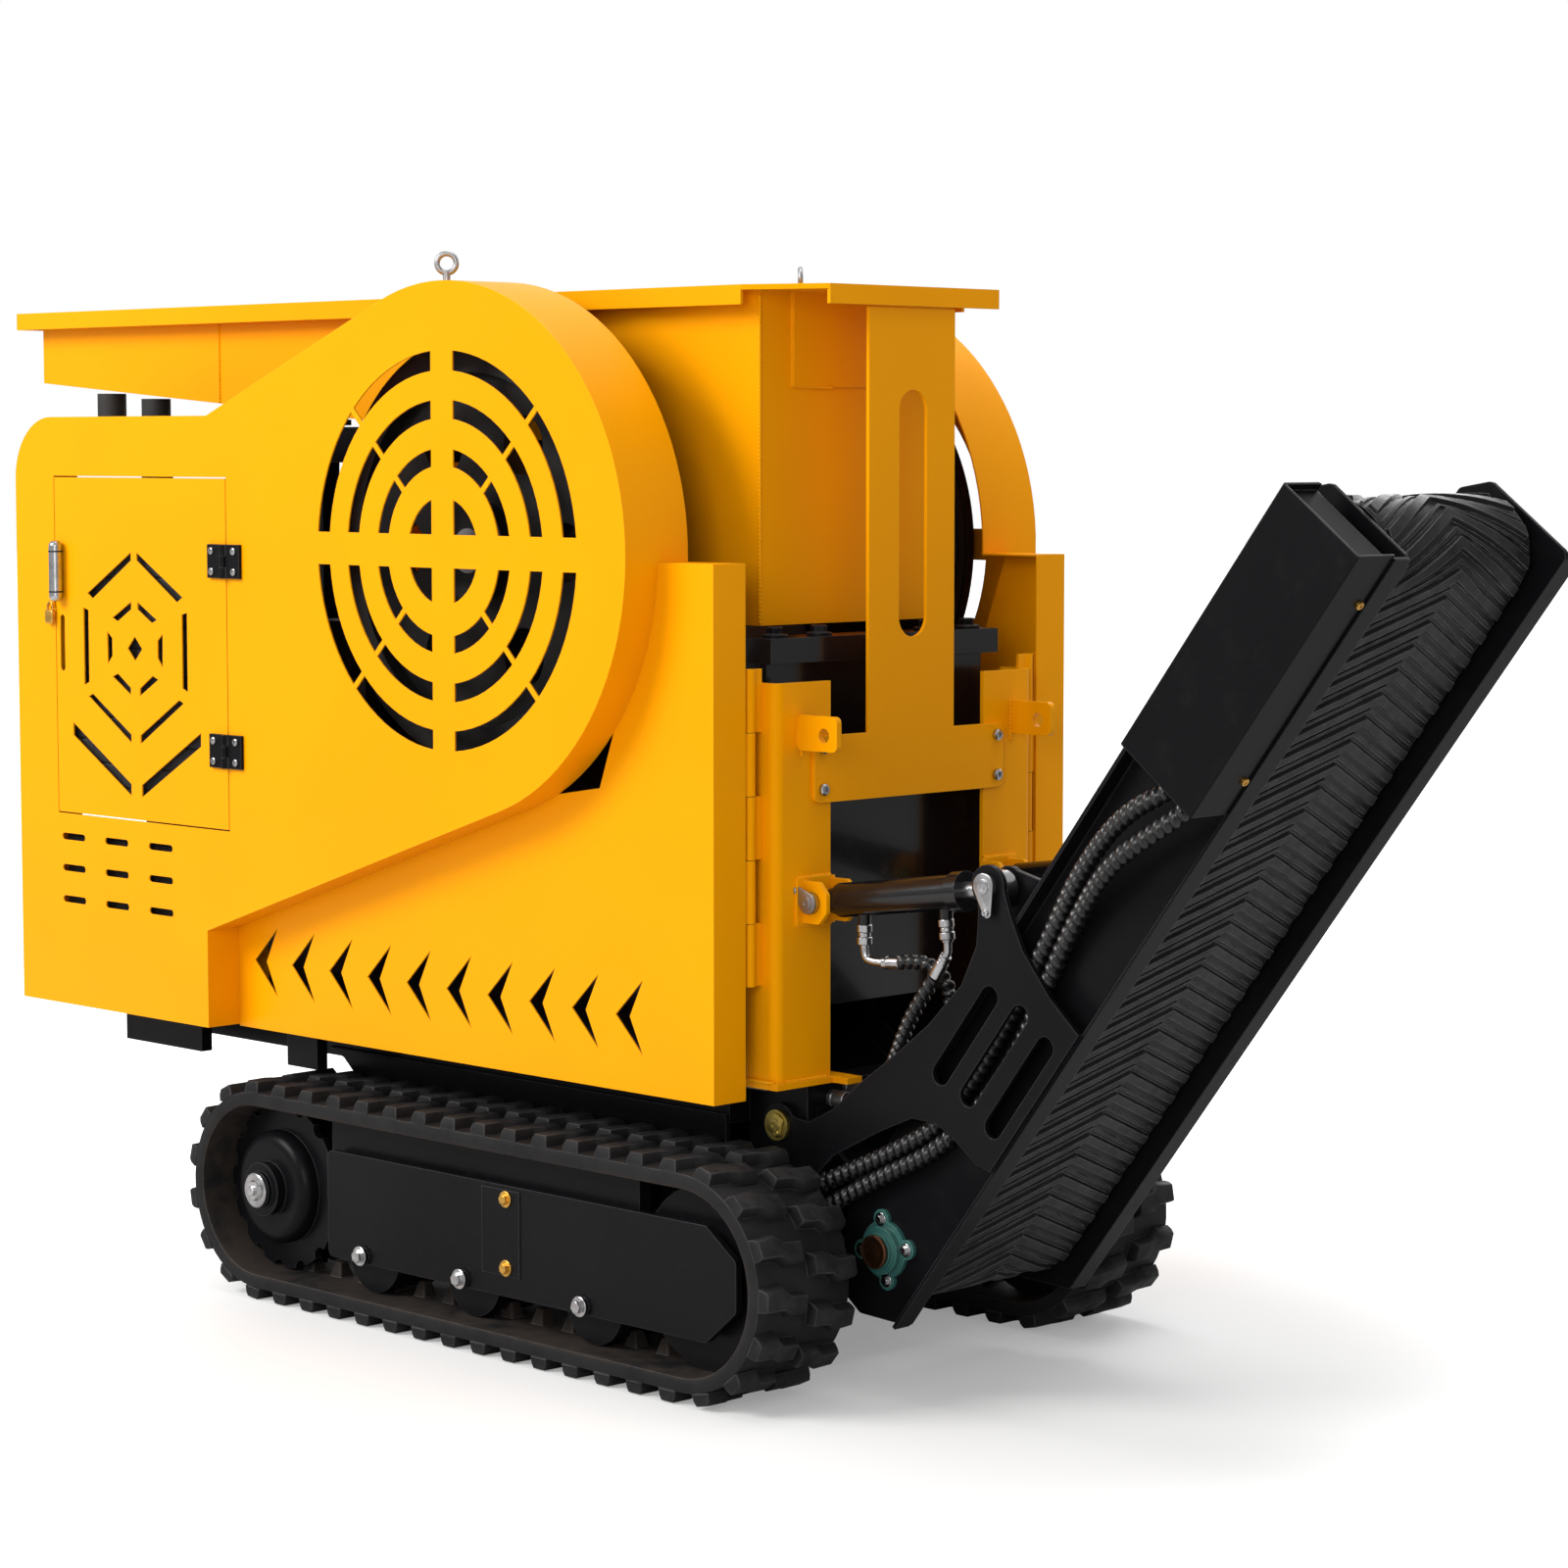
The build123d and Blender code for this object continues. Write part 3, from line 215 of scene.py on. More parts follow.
def plain(name, looks):  # moulded plastic, engine paint and cast surfaces
    finish = Finish(name, **{"Specular IOR Level": looks["specular"]})
    patches = finish.noise(looks["grain"], 4.0)
    colour = finish.blendOf(patches.rise(0.3, 0.7), looks["colour"], looks["second"])
    pores = finish.noise(looks["grain"] * 14, 3.0)
    skin = finish.bumpy(pores, looks["depth"], 0.7, finish.roundedEdges(looks["edge"]))
    return finish.wear(Base_Color=colour, Roughness=looks["rough"] + patches * 0.1, Normal=skin)


def axisOf(node):  # where a wheel's axis crosses the middle plane
    centre = middleOf(node)
    return Vector((centre.x, 0, centre.z))


rearAxle, frontAxle = axisOf("sprocket_near"), axisOf("idler_near")
tailAxis, headAxis = axisOf("tail_drum"), axisOf("head_drum")

# in each paint below, highlightColour is a painted highlight along sharp edges
yellow = paint("yellowPaint", {
    "colour": rgb(0.86, 0.33, 0.0006), "second": rgb(0.83, 0.315, 0.0006), "dustColour": rgb(0.78, 0.3, 0.006),
    "dust": 0.03, "rough": 0.32, "coat": 0.0, "coatRough": 0.1, "specular": 0.16, "peel": 0.00012, "edge": 0.0016,
    "tint": rgb(1.0, 0.66, 0.12), "highlightShare": 0.5, "highlightColour": rgb(1.0, 0.55, 0.03),
})
black = paint("blackPaint", {
    "colour": rgb(0.0042, 0.0042, 0.005), "second": rgb(0.006, 0.006, 0.007), "dustColour": rgb(0.05, 0.048, 0.045),
    "dust": 0.03, "rough": 0.3, "coat": 0.0, "coatRough": 0.15, "specular": 0.075, "peel": 0.00015, "edge": 0.0025,
    "highlightShare": 0.6, "highlightColour": rgb(0.07, 0.07, 0.075),
})
glossBlack = paint("glossBlack", {
    "colour": rgb(0.004, 0.004, 0.0048), "second": rgb(0.005, 0.005, 0.006), "dustColour": rgb(0.03, 0.029, 0.028),
    "dust": 0.02, "rough": 0.2, "coat": 0.25, "coatRough": 0.08, "specular": 0.3, "peel": 0.0001, "edge": 0.0014,
    "highlightShare": 0.6, "highlightColour": rgb(0.07, 0.07, 0.075),
})
green = paint("greenPaint", {
    "colour": rgb(0.035, 0.15, 0.125), "second": rgb(0.03, 0.11, 0.1), "dustColour": rgb(0.1, 0.16, 0.14),
    "dust": 0.5, "rough": 0.4, "coat": 0.2, "coatRough": 0.2, "specular": 0.5, "peel": 0.0004, "edge": 0.0015,
    "highlightShare": 0.5, "highlightColour": rgb(0.09, 0.3, 0.26),
})
steel = metal("turnedSteel", {
    "colour": rgb(0.36, 0.36, 0.37), "second": rgb(0.26, 0.26, 0.27), "grain": 30, "rough": 0.34, "spread": 0.2,
})
chrome = metal("chromePlate", {
    "colour": rgb(0.5, 0.5, 0.51), "second": rgb(0.34, 0.34, 0.35), "grain": 40, "rough": 0.16, "spread": 0.16,
})
goldZinc = metal("goldZinc", {
    "colour": rgb(0.5, 0.38, 0.09), "second": rgb(0.36, 0.29, 0.08), "grain": 45, "rough": 0.3, "spread": 0.2,
})
brass = metal("brass", {
    "colour": rgb(0.7, 0.4, 0.08), "second": rgb(0.45, 0.26, 0.06), "grain": 90, "rough": 0.26, "spread": 0.2,
})
bronze = metal("oiledBronze", {
    "colour": rgb(0.2, 0.09, 0.045), "second": rgb(0.12, 0.055, 0.03), "grain": 70, "rough": 0.32, "spread": 0.2,
})
castIron = plain("castIron", {
    "colour": rgb(0.007, 0.007, 0.008), "second": rgb(0.013, 0.0125, 0.012), "grain": 22, "depth": 0.0006,
    "edge": 0.002, "rough": 0.42, "specular": 0.3,
})
engineGrey = plain("engineGrey", {
    "colour": rgb(0.014, 0.015, 0.017), "second": rgb(0.024, 0.024, 0.025), "grain": 18, "depth": 0.0003,
    "edge": 0.003, "rough": 0.4, "specular": 0.35,
})
hosePlastic = plain("hosePlastic", {
    "colour": rgb(0.005, 0.005, 0.0055), "second": rgb(0.008, 0.008, 0.009), "grain": 60, "depth": 0.0001,
    "edge": 0.0006, "rough": 0.24, "specular": 0.5,
})
softRubber = plain("softRubber", {
    "colour": rgb(0.018, 0.018, 0.018), "second": rgb(0.028, 0.027, 0.026), "grain": 26, "depth": 0.0004,
    "edge": 0.0015, "rough": 0.6, "specular": 0.3,
})
# edgeHighlightColour on the track and the belt is a painted highlight on lug and rib edges
trackRubber = loopRubber("trackRubber", rearAxle, frontAxle, {
    "colour": rgb(0.009, 0.009, 0.0098), "second": rgb(0.015, 0.015, 0.016), "scuffColour": rgb(0.035, 0.035, 0.037),
    "dustColour": rgb(0.04, 0.028, 0.02), "edgeHighlightColour": rgb(0.12, 0.12, 0.12), "edgeHighlight": 0.5, "inner": 0.138,
    "outer": 0.15, "ribFoot": 0.168, "ribTop": 0.183, "scuff": 0.4, "dust": 0.6, "edge": 0.002, "rough": 0.55,
})
beltRubber = loopRubber("beltRubber", tailAxis, headAxis, {
    "colour": rgb(0.007, 0.007, 0.0078), "second": rgb(0.013, 0.013, 0.014), "scuffColour": rgb(0.03, 0.03, 0.031),
    "dustColour": rgb(0.03, 0.027, 0.024), "edgeHighlightColour": rgb(0.24, 0.24, 0.24), "edgeHighlight": 0.85, "inner": 0.064,
    "outer": 0.07, "ribFoot": 0.076, "ribTop": 0.081, "scuff": 0.4, "dust": 0.4, "edge": 0.0014, "rough": 0.42,
})

finishes = {
    "yellow_paint": yellow, "black_paint": black, "track_rubber": softRubber, "belt_rubber": beltRubber,
    "steel": steel, "chrome": chrome, "cast_iron": castIron, "green_paint": green, "gold_zinc": goldZinc,
    "engine_paint": engineGrey, "hose_plastic": hosePlastic,
}
ownFinish = {
    "drum_motor": black, "lift_barrels": glossBlack, "crusher_frame": glossBlack,
    "engine_pulley": castIron, "radiator": castIron,
}
for part in frame["record"]["subparts"]:
    node = frame["nodes"][part["node"]]
    node.data.materials.clear()
    node.data.materials.append(ownFinish.get(part["node"], finishes[part["material_slot"]]))
print("finishes made")


def clearSelection():
    if bpy.context.object and bpy.context.object.mode != "OBJECT":
        bpy.ops.object.mode_set(mode="OBJECT")
    bpy.ops.object.select_all(action="DESELECT")


def start(name, shape, **settings):
    clearSelection()
    getattr(bpy.ops.mesh, f"primitive_{shape}_add")(**settings)
    piece = bpy.context.object
    piece.name = piece.data.name = name
    bpy.ops.object.transform_apply(location=True, rotation=True, scale=True)
    return piece


def editFaces(piece, wanted):  # edit mode, with the wanted faces selected by centre and normal
    clearSelection()
    piece.select_set(True)
    bpy.context.view_layer.objects.active = piece
    bpy.ops.object.mode_set(mode="EDIT")
    bpy.ops.mesh.select_mode(type="FACE")
    bpy.ops.mesh.select_all(action="DESELECT")
    bpy.ops.object.mode_set(mode="OBJECT")
    for face in piece.data.polygons:
        face.select = wanted(face.center, face.normal)
    bpy.ops.object.mode_set(mode="EDIT")


def extrude(x, y, z):
    bpy.ops.mesh.extrude_region_move(TRANSFORM_OT_translate={"value": (x, y, z)})


def stretch(x, y, z, centre=(0, 0, 0)):
    bpy.ops.transform.resize(value=(x, y, z), center_override=centre)


def leaveEdit():
    bpy.ops.object.mode_set(mode="OBJECT")


def modify(piece, kind, **settings):
    clearSelection()
    piece.select_set(True)
    bpy.context.view_layer.objects.active = piece
    added = piece.modifiers.new(kind.title(), kind)
    for name, value in settings.items():
        setattr(added, name, value)
    bpy.ops.object.modifier_apply(modifier=added.name)


def tidyFaces(piece):
    editFaces(piece, lambda centre, normal: True)
    bpy.ops.mesh.select_all(action="SELECT")
    bpy.ops.mesh.remove_doubles(threshold=0.00005)
    bpy.ops.mesh.normals_make_consistent(inside=False)
    leaveEdit()


def join(name, pieces):
    clearSelection()
    for piece in pieces:
        piece.select_set(True)
    bpy.context.view_layer.objects.active = pieces[0]
    if len(pieces) > 1:
        bpy.ops.object.join()
    pieces[0].name = pieces[0].data.name = name
    return pieces[0]


def repeat(piece, places, name=None):  # a copy at each place, all in one piece
    name, copies = name or piece.name, []
    for place in places:
        twin = piece.copy()
        twin.data = piece.data.copy()
        twin.data.transform(place)
        bpy.context.collection.objects.link(twin)
        copies.append(twin)
    bpy.data.objects.remove(piece)
    return join(name, copies)


def facing(at, out, turn=0):  # puts a piece's foot at a point, with its top facing out
    tilt = Vector(out).to_track_quat("Z", "Y").to_matrix().to_4x4()
    return Matrix.Translation(at) @ tilt @ Matrix.Rotation(turn, 4, "Z")


def done(piece, finish, body, slot, *replaced):
    clearSelection()
    piece.select_set(True)
    bpy.context.view_layer.objects.active = piece
    bpy.ops.object.shade_smooth_by_angle(angle=radians(32))
    piece.data.materials.clear()
    piece.data.materials.append(finish)
    if body:
        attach(piece, body)
    if replaced:
        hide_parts(*replaced)
    return piece


def block(name, size, at, rounding, segments=1):
    piece = start(name, "cube", size=1)
    piece.data.transform(Matrix.Translation(at) @ Matrix.Diagonal((*size, 1)))
    modify(piece, "BEVEL", width=rounding, segments=segments)
    return piece


def column(name, sides, radius, high, foot=0.0):  # stands on the XY plane, or a little above it
    return start(name, "cylinder", vertices=sides, radius=radius, depth=high, location=(0, 0, foot + high / 2))


def insetTop(piece, steps):  # insets the upper face again and again, each time (inwards, upwards)
    editFaces(piece, lambda centre, normal: normal.z > 0.9)
    for inwards, upwards in steps:
        bpy.ops.mesh.inset(thickness=inwards, depth=upwards)
    leaveEdit()


def bolt(name, looks):  # washer and hexagon head on the XY plane, facing +Z
    radius, high, washer = looks["head"], looks["high"], looks["washer"]
    head = column(name, 6, radius, high, washer)
    insetTop(head, [(radius * 0.16, high * 0.12), (radius * 0.3, -high * 0.1)])
    ring = column(name + "Washer", 24, radius * 1.55, washer)
    insetTop(ring, [(radius * 0.1, washer * 0.25)])
    return join(name, [head, ring])


def roundScrew(name, radius, high):  # button head with a driver recess
    head = column(name, 20, radius, high)
    insetTop(head, [(radius * 0.22, high * 0.3), (radius * 0.32, 0), (radius * 0.05, -high * 0.7)])
    return head


def loopPoint(first, second, radius, distance, height):  # a point round a belt loop, and its outward direction
    ahead = (second - first).normalized()
    up = Vector((-ahead.z, 0, ahead.x))
    span, half = (second - first).length, pi * radius
    distance %= 2 * (span + half)
    if distance < span:
        centre, out = first + ahead * distance, up
    elif distance < span + half:
        angle = (distance - span) / radius
        centre, out = second, up * cos(angle) + ahead * sin(angle)
    elif distance < 2 * span + half:
        centre, out = second - ahead * (distance - span - half), -up
    else:
        angle = (distance - 2 * span - half) / radius
        centre, out = first, -up * cos(angle) - ahead * sin(angle)
    return centre + out * (radius + height), out


def wrapRound(piece, first, second, radius):  # bends a strip laid along X round a belt loop
    for point in piece.data.vertices:
        across = point.co.y
        point.co, _ = loopPoint(first, second, radius, point.co.x, point.co.z)
        point.co.y = across
    piece.data.update()


def loopBand(name, cuts, first, second, looks, middle=0.0):  # a flat band round a loop, and its length
    around = 2 * (second - first).length + 2 * pi * looks["face"]
    band = start(name, "grid", x_subdivisions=cuts, y_subdivisions=1, size=1)
    flat = Matrix.Translation((around / 2, middle, 0)) @ Matrix.Diagonal((around, looks["width"], 1, 1))
    band.data.transform(flat)
    wrapRound(band, first, second, looks["face"])
    tidyFaces(band)
    modify(band, "SOLIDIFY", thickness=looks["thick"], offset=-1)
    return band, around


track = {
    "lugs": 43, "face": 0.165, "thick": 0.024, "width": 0.191, "middle": 0.3685, "rounding": 0.004,
    "lugHigh": 0.0195, "lugWide": 0.089, "lugRow": 0.27, "lugSunk": 0.001, "lugRounding": 0.0011,
    "hornHigh": 0.027, "hornWide": 0.03, "hornSunk": 0.002, "hornTip": (0.45, 0.55, 1), "hornRounding": 0.002,
    "outline": (((-0.027, 0.009), 0.0), ((-0.025, 0.013), 0.4), ((-0.014, 0.027), 0.56), ((-0.012, 0.024), 1.0)),
}


def lugBlock(name, side):  # a stepped outline: back at the belt's edge, forward at its middle
    lug = start(name, "grid", x_subdivisions=1, y_subdivisions=3, size=1)
    for point in lug.data.vertices:
        (low, high), across = track["outline"][round(3 * (point.co.y + 0.5))]
        point.co = (high if point.co.x > 0 else low, side * (0.5 - across) * track["lugWide"], 0)
    editFaces(lug, lambda centre, normal: True)
    extrude(0, 0, track["lugHigh"] * 0.6)
    stretch(0.9, 0.97, 1)
    extrude(0, 0, track["lugHigh"] * 0.4)
    stretch(0.8, 0.95, 1)
    leaveEdit()
    tidyFaces(lug)
    modify(lug, "BEVEL", width=track["lugRounding"], segments=1, limit_method="ANGLE", angle_limit=radians(30))
    return lug


def guideHorn(name):
    wide, high = track["hornWide"], track["hornHigh"]
    horn = start(name, "cube", size=1)
    horn.data.transform(Matrix.Translation((0, 0, -high / 2)) @ Matrix.Diagonal((wide, wide, high, 1)))
    editFaces(horn, lambda centre, normal: normal.z < -0.5)
    stretch(*track["hornTip"])
    leaveEdit()
    modify(horn, "BEVEL", width=track["hornRounding"], segments=1)
    return horn


def makeTrack(side, name, node):
    middle = side * track["middle"]
    carcass, around = loopBand(name + "Band", 4 * track["lugs"], rearAxle, frontAxle, track, middle)
    edges = {"segments": 2, "limit_method": "ANGLE", "angle_limit": radians(60)}
    modify(carcass, "BEVEL", width=track["rounding"], **edges)

    def standing(pitches, across, height):  # a place round the track, with +Z facing out of it
        at, out = loopPoint(rearAxle, frontAxle, track["face"], pitches * around / track["lugs"], height)
        at.y = across
        return Matrix.Translation(at) @ Matrix(((out.z, 0, out.x), (0, 1, 0), (-out.x, 0, out.z))).to_4x4()

    places = []
    for row, shift in ((-1, 0), (1, 0.5)):
        across = middle + row * track["width"] * track["lugRow"]
        turned = Matrix.Rotation(pi if row == side else 0, 4, "Z")
        places += [standing(index + shift, across, -track["lugSunk"]) @ turned for index in range(track["lugs"])]
    lugs = repeat(lugBlock(name + "Lug", side), places)
    inner = track["hornSunk"] - track["thick"]
    places = [standing(index + 0.25, middle, inner) for index in range(track["lugs"])]
    horns = repeat(guideHorn(name + "Horn"), places)
    return done(join(name, [carcass, lugs, horns]), trackRubber, "chassis", "track_rubber", node)


makeTrack(-1, "trackNear", "rubber_track_near")
makeTrack(1, "trackFar", "rubber_track_far")
print("tracks made")

belt = {
    "face": 0.0744, "thick": 0.0076, "width": 0.33, "cuts": 200, "chevrons": 73, "sweep": 0.47, "sunk": 0.0002,
    "ribWidth": 0.955, "ribCuts": 22, "ribTop": (0.72, 0.992, 1),
    "ribs": ({"shift": 0.0, "long": 0.02, "high": 0.0068}, {"shift": 0.0235, "long": 0.007, "high": 0.0035}),
}
band, beltAround = loopBand("beltBand", belt["cuts"], tailAxis, headAxis, belt)
ribs = []
for looks in belt["ribs"]:
    rib = start("beltRib", "grid", x_subdivisions=1, y_subdivisions=belt["ribCuts"], size=1)
    rib.data.transform(Matrix.Diagonal((looks["long"], belt["width"] * belt["ribWidth"], 1, 1)))
    editFaces(rib, lambda centre, normal: True)
    extrude(0, 0, looks["high"])
    stretch(*belt["ribTop"])
    leaveEdit()
    for point in rib.data.vertices:
        point.co.x += looks["shift"] + belt["sweep"] * abs(point.co.y)
    ribs.append(rib)
rib = join("beltRibs", ribs)
tidyFaces(rib)
chevronPitch = beltAround / belt["chevrons"]
rib = repeat(rib, [Matrix.Translation((n * chevronPitch, 0, -belt["sunk"])) for n in range(belt["chevrons"])])
wrapRound(rib, tailAxis, headAxis, belt["face"])
done(join("chevronBelt", [band, rib]), beltRubber, "conveyor", "belt_rubber", "conveyor_belt")
print("chevron belt made")


def routeLine(name, route):  # the smooth line of a hose, read from its spline
    data = bpy.data.curves.new(name, "CURVE")
    data.dimensions = "3D"
    spline = data.splines.new("NURBS")
    spline.points.add(len(route) - 1)
    for point, place in zip(spline.points, route):
        point.co = (*place, 1)
    spline.order_u = 3
    spline.use_endpoint_u = True
    spline.resolution_u = 24
    holder = bpy.data.objects.new(name, data)
    bpy.context.collection.objects.link(holder)
    bpy.context.view_layer.update()
    mesh = bpy.data.meshes.new_from_object(holder.evaluated_get(bpy.context.evaluated_depsgraph_get()))
    line = [point.co.copy() for point in mesh.vertices]
    bpy.data.objects.remove(holder)
    return line


def alongLine(line, step):  # points a step apart, each with its direction
    placed, walked, due = [], 0.0, 0.0
    for here, there in zip(line, line[1:]):
        run = (there - here).length
        while due <= walked + run:
            placed.append((here.lerp(there, (due - walked) / run), (there - here).normalized(), due))
            due += step
        walked += run
    placed.append((line[-1], (line[-1] - line[-2]).normalized(), walked))
    return placed


winding = {"sides": 20, "rowsPerTurn": 8, "grooveWide": 0.26, "grooveRound": 0.7}


def spiralHose(name, line, looks):  # hose inside a wound plastic guard
    sides, rows = winding["sides"], alongLine(line, looks["pitch"] / winding["rowsPerTurn"])
    side = rows[0][1].orthogonal().normalized()
    points, faces = [], []
    for at, ahead, walked in rows:
        side = (side - ahead * side.dot(ahead)).normalized()
        other = ahead.cross(side)
        for step in range(sides):
            angle = 2 * pi * step / sides
            turn = (walked / looks["pitch"] + step / sides) % 1
            groove = max(0.0, 1 - abs(turn - 0.5) / winding["grooveWide"]) ** winding["grooveRound"]
            radius = looks["radius"] * (1 + looks["crown"] * cos(2 * pi * turn) - looks["groove"] * groove)
            points.append(at + side * radius * cos(angle) + other * radius * sin(angle))
    last = (len(rows) - 1) * sides
    for row in range(0, last, sides):
        for step in range(sides):
            after = (step + 1) % sides
            faces.append((row + step, row + after, row + sides + after, row + sides + step))
    faces.append(tuple(reversed(range(sides))))
    faces.append(tuple(range(last, last + sides)))
    mesh = bpy.data.meshes.new(name)
    mesh.from_pydata(points, [], faces)
    piece = bpy.data.objects.new(name, mesh)
    bpy.context.collection.objects.link(piece)
    return piece


hoseRoutes = {
    "motor_hose_a": [
        (1.2554, -0.265, 1.0116), (1.2116, -0.265, 0.9548), (1.138, -0.262, 0.925), (1.073, -0.247, 0.882),
        (0.999, -0.228, 0.808), (0.931, -0.203, 0.718), (0.864, -0.201, 0.611), (0.791, -0.201, 0.506),
        (0.717, -0.201, 0.423), (0.640, -0.201, 0.380), (0.560, -0.201, 0.342), (0.477, -0.203, 0.306),
        (0.400, -0.205, 0.276), (0.334, -0.205, 0.276),
    ],
    "motor_hose_b": [
        (1.284, -0.265, 0.9897), (1.2383, -0.265, 0.9305), (1.172, -0.262, 0.893), (1.076, -0.247, 0.839),
        (0.978, -0.209, 0.740), (0.919, -0.201, 0.640), (0.873, -0.201, 0.550), (0.811, -0.201, 0.471),
        (0.745, -0.201, 0.412), (0.691, -0.201, 0.374), (0.609, -0.201, 0.336), (0.526, -0.201, 0.292),
        (0.454, -0.203, 0.254), (0.388, -0.205, 0.236), (0.334, -0.205, 0.236),
    ],
    "lift_hose_base": [
        (0.625, -0.192, 0.655), (0.659, -0.188, 0.661), (0.692, -0.183, 0.652), (0.714, -0.180, 0.629),
        (0.721, -0.179, 0.598), (0.715, -0.179, 0.565), (0.694, -0.179, 0.528), (0.663, -0.178, 0.486),
        (0.614, -0.173, 0.452), (0.558, -0.165, 0.432), (0.505, -0.160, 0.428), (0.455, -0.160, 0.428),
    ],
    "lift_hose_rod": [
        (0.708, -0.203, 0.641), (0.686, -0.205, 0.612), (0.656, -0.204, 0.570), (0.628, -0.197, 0.522),
        (0.590, -0.177, 0.480), (0.545, -0.148, 0.452), (0.505, -0.125, 0.440), (0.455, -0.125, 0.440),
    ],
}
motorGuard = {"radius": 0.0135, "pitch": 0.017, "groove": 0.34, "crown": 0.05}
liftGuard = {"radius": 0.011, "pitch": 0.0145, "groove": 0.34, "crown": 0.05}
hoses = {  # start and end: the stretch of each hose that crosses a joint; nothing here reads them or bends the hose
    "motor_hose_a": {
        "length": 1.229, "moves": "conveyor", "start": (0.46, -0.2, 0.29), "end": (0.93, -0.2, 0.72), **motorGuard,
    },
    "motor_hose_b": {
        "length": 1.263, "moves": "conveyor", "start": (0.46, -0.2, 0.27), "end": (0.93, -0.2, 0.70), **motorGuard,
    },
    "lift_hose_base": {
        "length": 0.481, "moves": "cylinders", "start": (0.53, -0.165, 0.43), "end": (0.64, -0.19, 0.65), **liftGuard,
    },
    "lift_hose_rod": {
        "length": 0.360, "moves": "cylinders", "start": (0.52, -0.14, 0.45), "end": (0.69, -0.2, 0.62), **liftGuard,
    },
}
for node, hose in hoses.items():
    line = routeLine(node + "Line", hoseRoutes[node])
    piece = spiralHose(node.replace("_", "") + "Guard", line, hose)
    done(piece, hosePlastic, None, "hose_plastic", node)
    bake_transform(piece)
print("hoses made")

both = (-1, 1)
sunk = 0.0002  # how deep a part sits in the one under it


def bodyOf(side, name):
    return name + ("_near" if side < 0 else "_far")


# bolt heads stop at different turns, which follow from their places
rollerBolt = {"head": 0.0105, "high": 0.008, "washer": 0.003}
rollers = [middleOf("track_rollers_" + place) for place in ("rear", "middle", "front")]
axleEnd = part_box("track_frames")[1].y
spots = [facing((c.x, side * (axleEnd - sunk), c.z), (0, side, 0), c.x * 9) for c in rollers for side in both]
done(repeat(bolt("rollerBolts", rollerBolt), spots), chrome, "chassis", "chrome")

yokeScrew = {"radius": 0.009, "high": 0.006, "across": (-0.195, 0.195), "heights": (0.903, 0.966)}
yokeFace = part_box("yoke_plate")[1].x - sunk
spots = [facing((yokeFace, y, z), (1, 0, 0)) for y in yokeScrew["across"] for z in yokeScrew["heights"]]
screws = roundScrew("yokeScrews", yokeScrew["radius"], yokeScrew["high"])
done(repeat(screws, spots), chrome, "chassis", "chrome")

beamBolt = {
    "head": 0.013, "high": 0.011, "washer": 0.004, "x": 0.388, "z": 1.130, "across": (-0.215, -0.12, 0.12, 0.215),
}
spots = [facing((beamBolt["x"], y, beamBolt["z"]), (0, 0, 1), y * 7) for y in beamBolt["across"]]
done(repeat(bolt("beamBolts", beamBolt), spots), black, "chassis", "black_paint")

plate = {"size": (0.09, 0.0024, 0.138), "x": 0.008, "y": 0.44, "z": 0.197, "rounding": 0.001}
plateBolt = {"head": 0.0085, "high": 0.006, "washer": 0.0025, "x": 0.022, "y": 0.4411, "heights": (0.251, 0.142)}
for side in both:
    at = (plate["x"], side * plate["y"], plate["z"])
    cover = block(bodyOf(side, "inspectionPlate"), plate["size"], at, plate["rounding"])
    done(cover, black, "chassis", "black_paint")
spots = [
    facing((plateBolt["x"], side * plateBolt["y"], z), (0, side, 0), z) for side in both for z in plateBolt["heights"]
]
done(repeat(bolt("plateBolts", plateBolt), spots), brass, "chassis", "gold_zinc")

hub = {  # washer, nut and stub on the drive wheel's axle
    "washer": (32, 0.029, 0.004), "nut": ((0.003, 0.0015), (0.008, -0.001), (0.003, 0.005)),
    "stub": (6, 0.009, 0.006, 0.0085), "stubRounding": 0.001,
}
for side in both:
    hubNut = column("hubNut", *hub["washer"])
    insetTop(hubNut, hub["nut"])
    stub = column("hubStub", *hub["stub"])
    modify(stub, "BEVEL", width=hub["stubRounding"], segments=1)
    hubNut = join(bodyOf(side, "hubNut"), [hubNut, stub])
    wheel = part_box(bodyOf(side, "sprocket"))
    outer = wheel[1].y if side > 0 else wheel[0].y
    hubNut.data.transform(facing((rearAxle.x, outer, rearAxle.z), (0, side, 0)))
    done(hubNut, chrome, bodyOf(side, "drive_wheel"), "chrome")

hingeScrew = {
    "radius": 0.0062, "high": 0.0035, "y": 0.4637, "heights": (0.913, 1.228), "apart": (-0.017, 0.017),
    "leaves": {"cover": -0.624, "door": -0.684},
}
for side in both:
    for body, x in hingeScrew["leaves"].items():
        spots = [
            facing((x, side * hingeScrew["y"], z + step), (0, side, 0), z * 40)
            for z in hingeScrew["heights"] for step in hingeScrew["apart"]
        ]
        screws = roundScrew("hingeScrews", hingeScrew["radius"], hingeScrew["high"])
        screws = repeat(screws, spots, bodyOf(side, "hingeScrews" + body.title()))
        done(screws, chrome, bodyOf(side, body), "chrome")
print("bolts made")


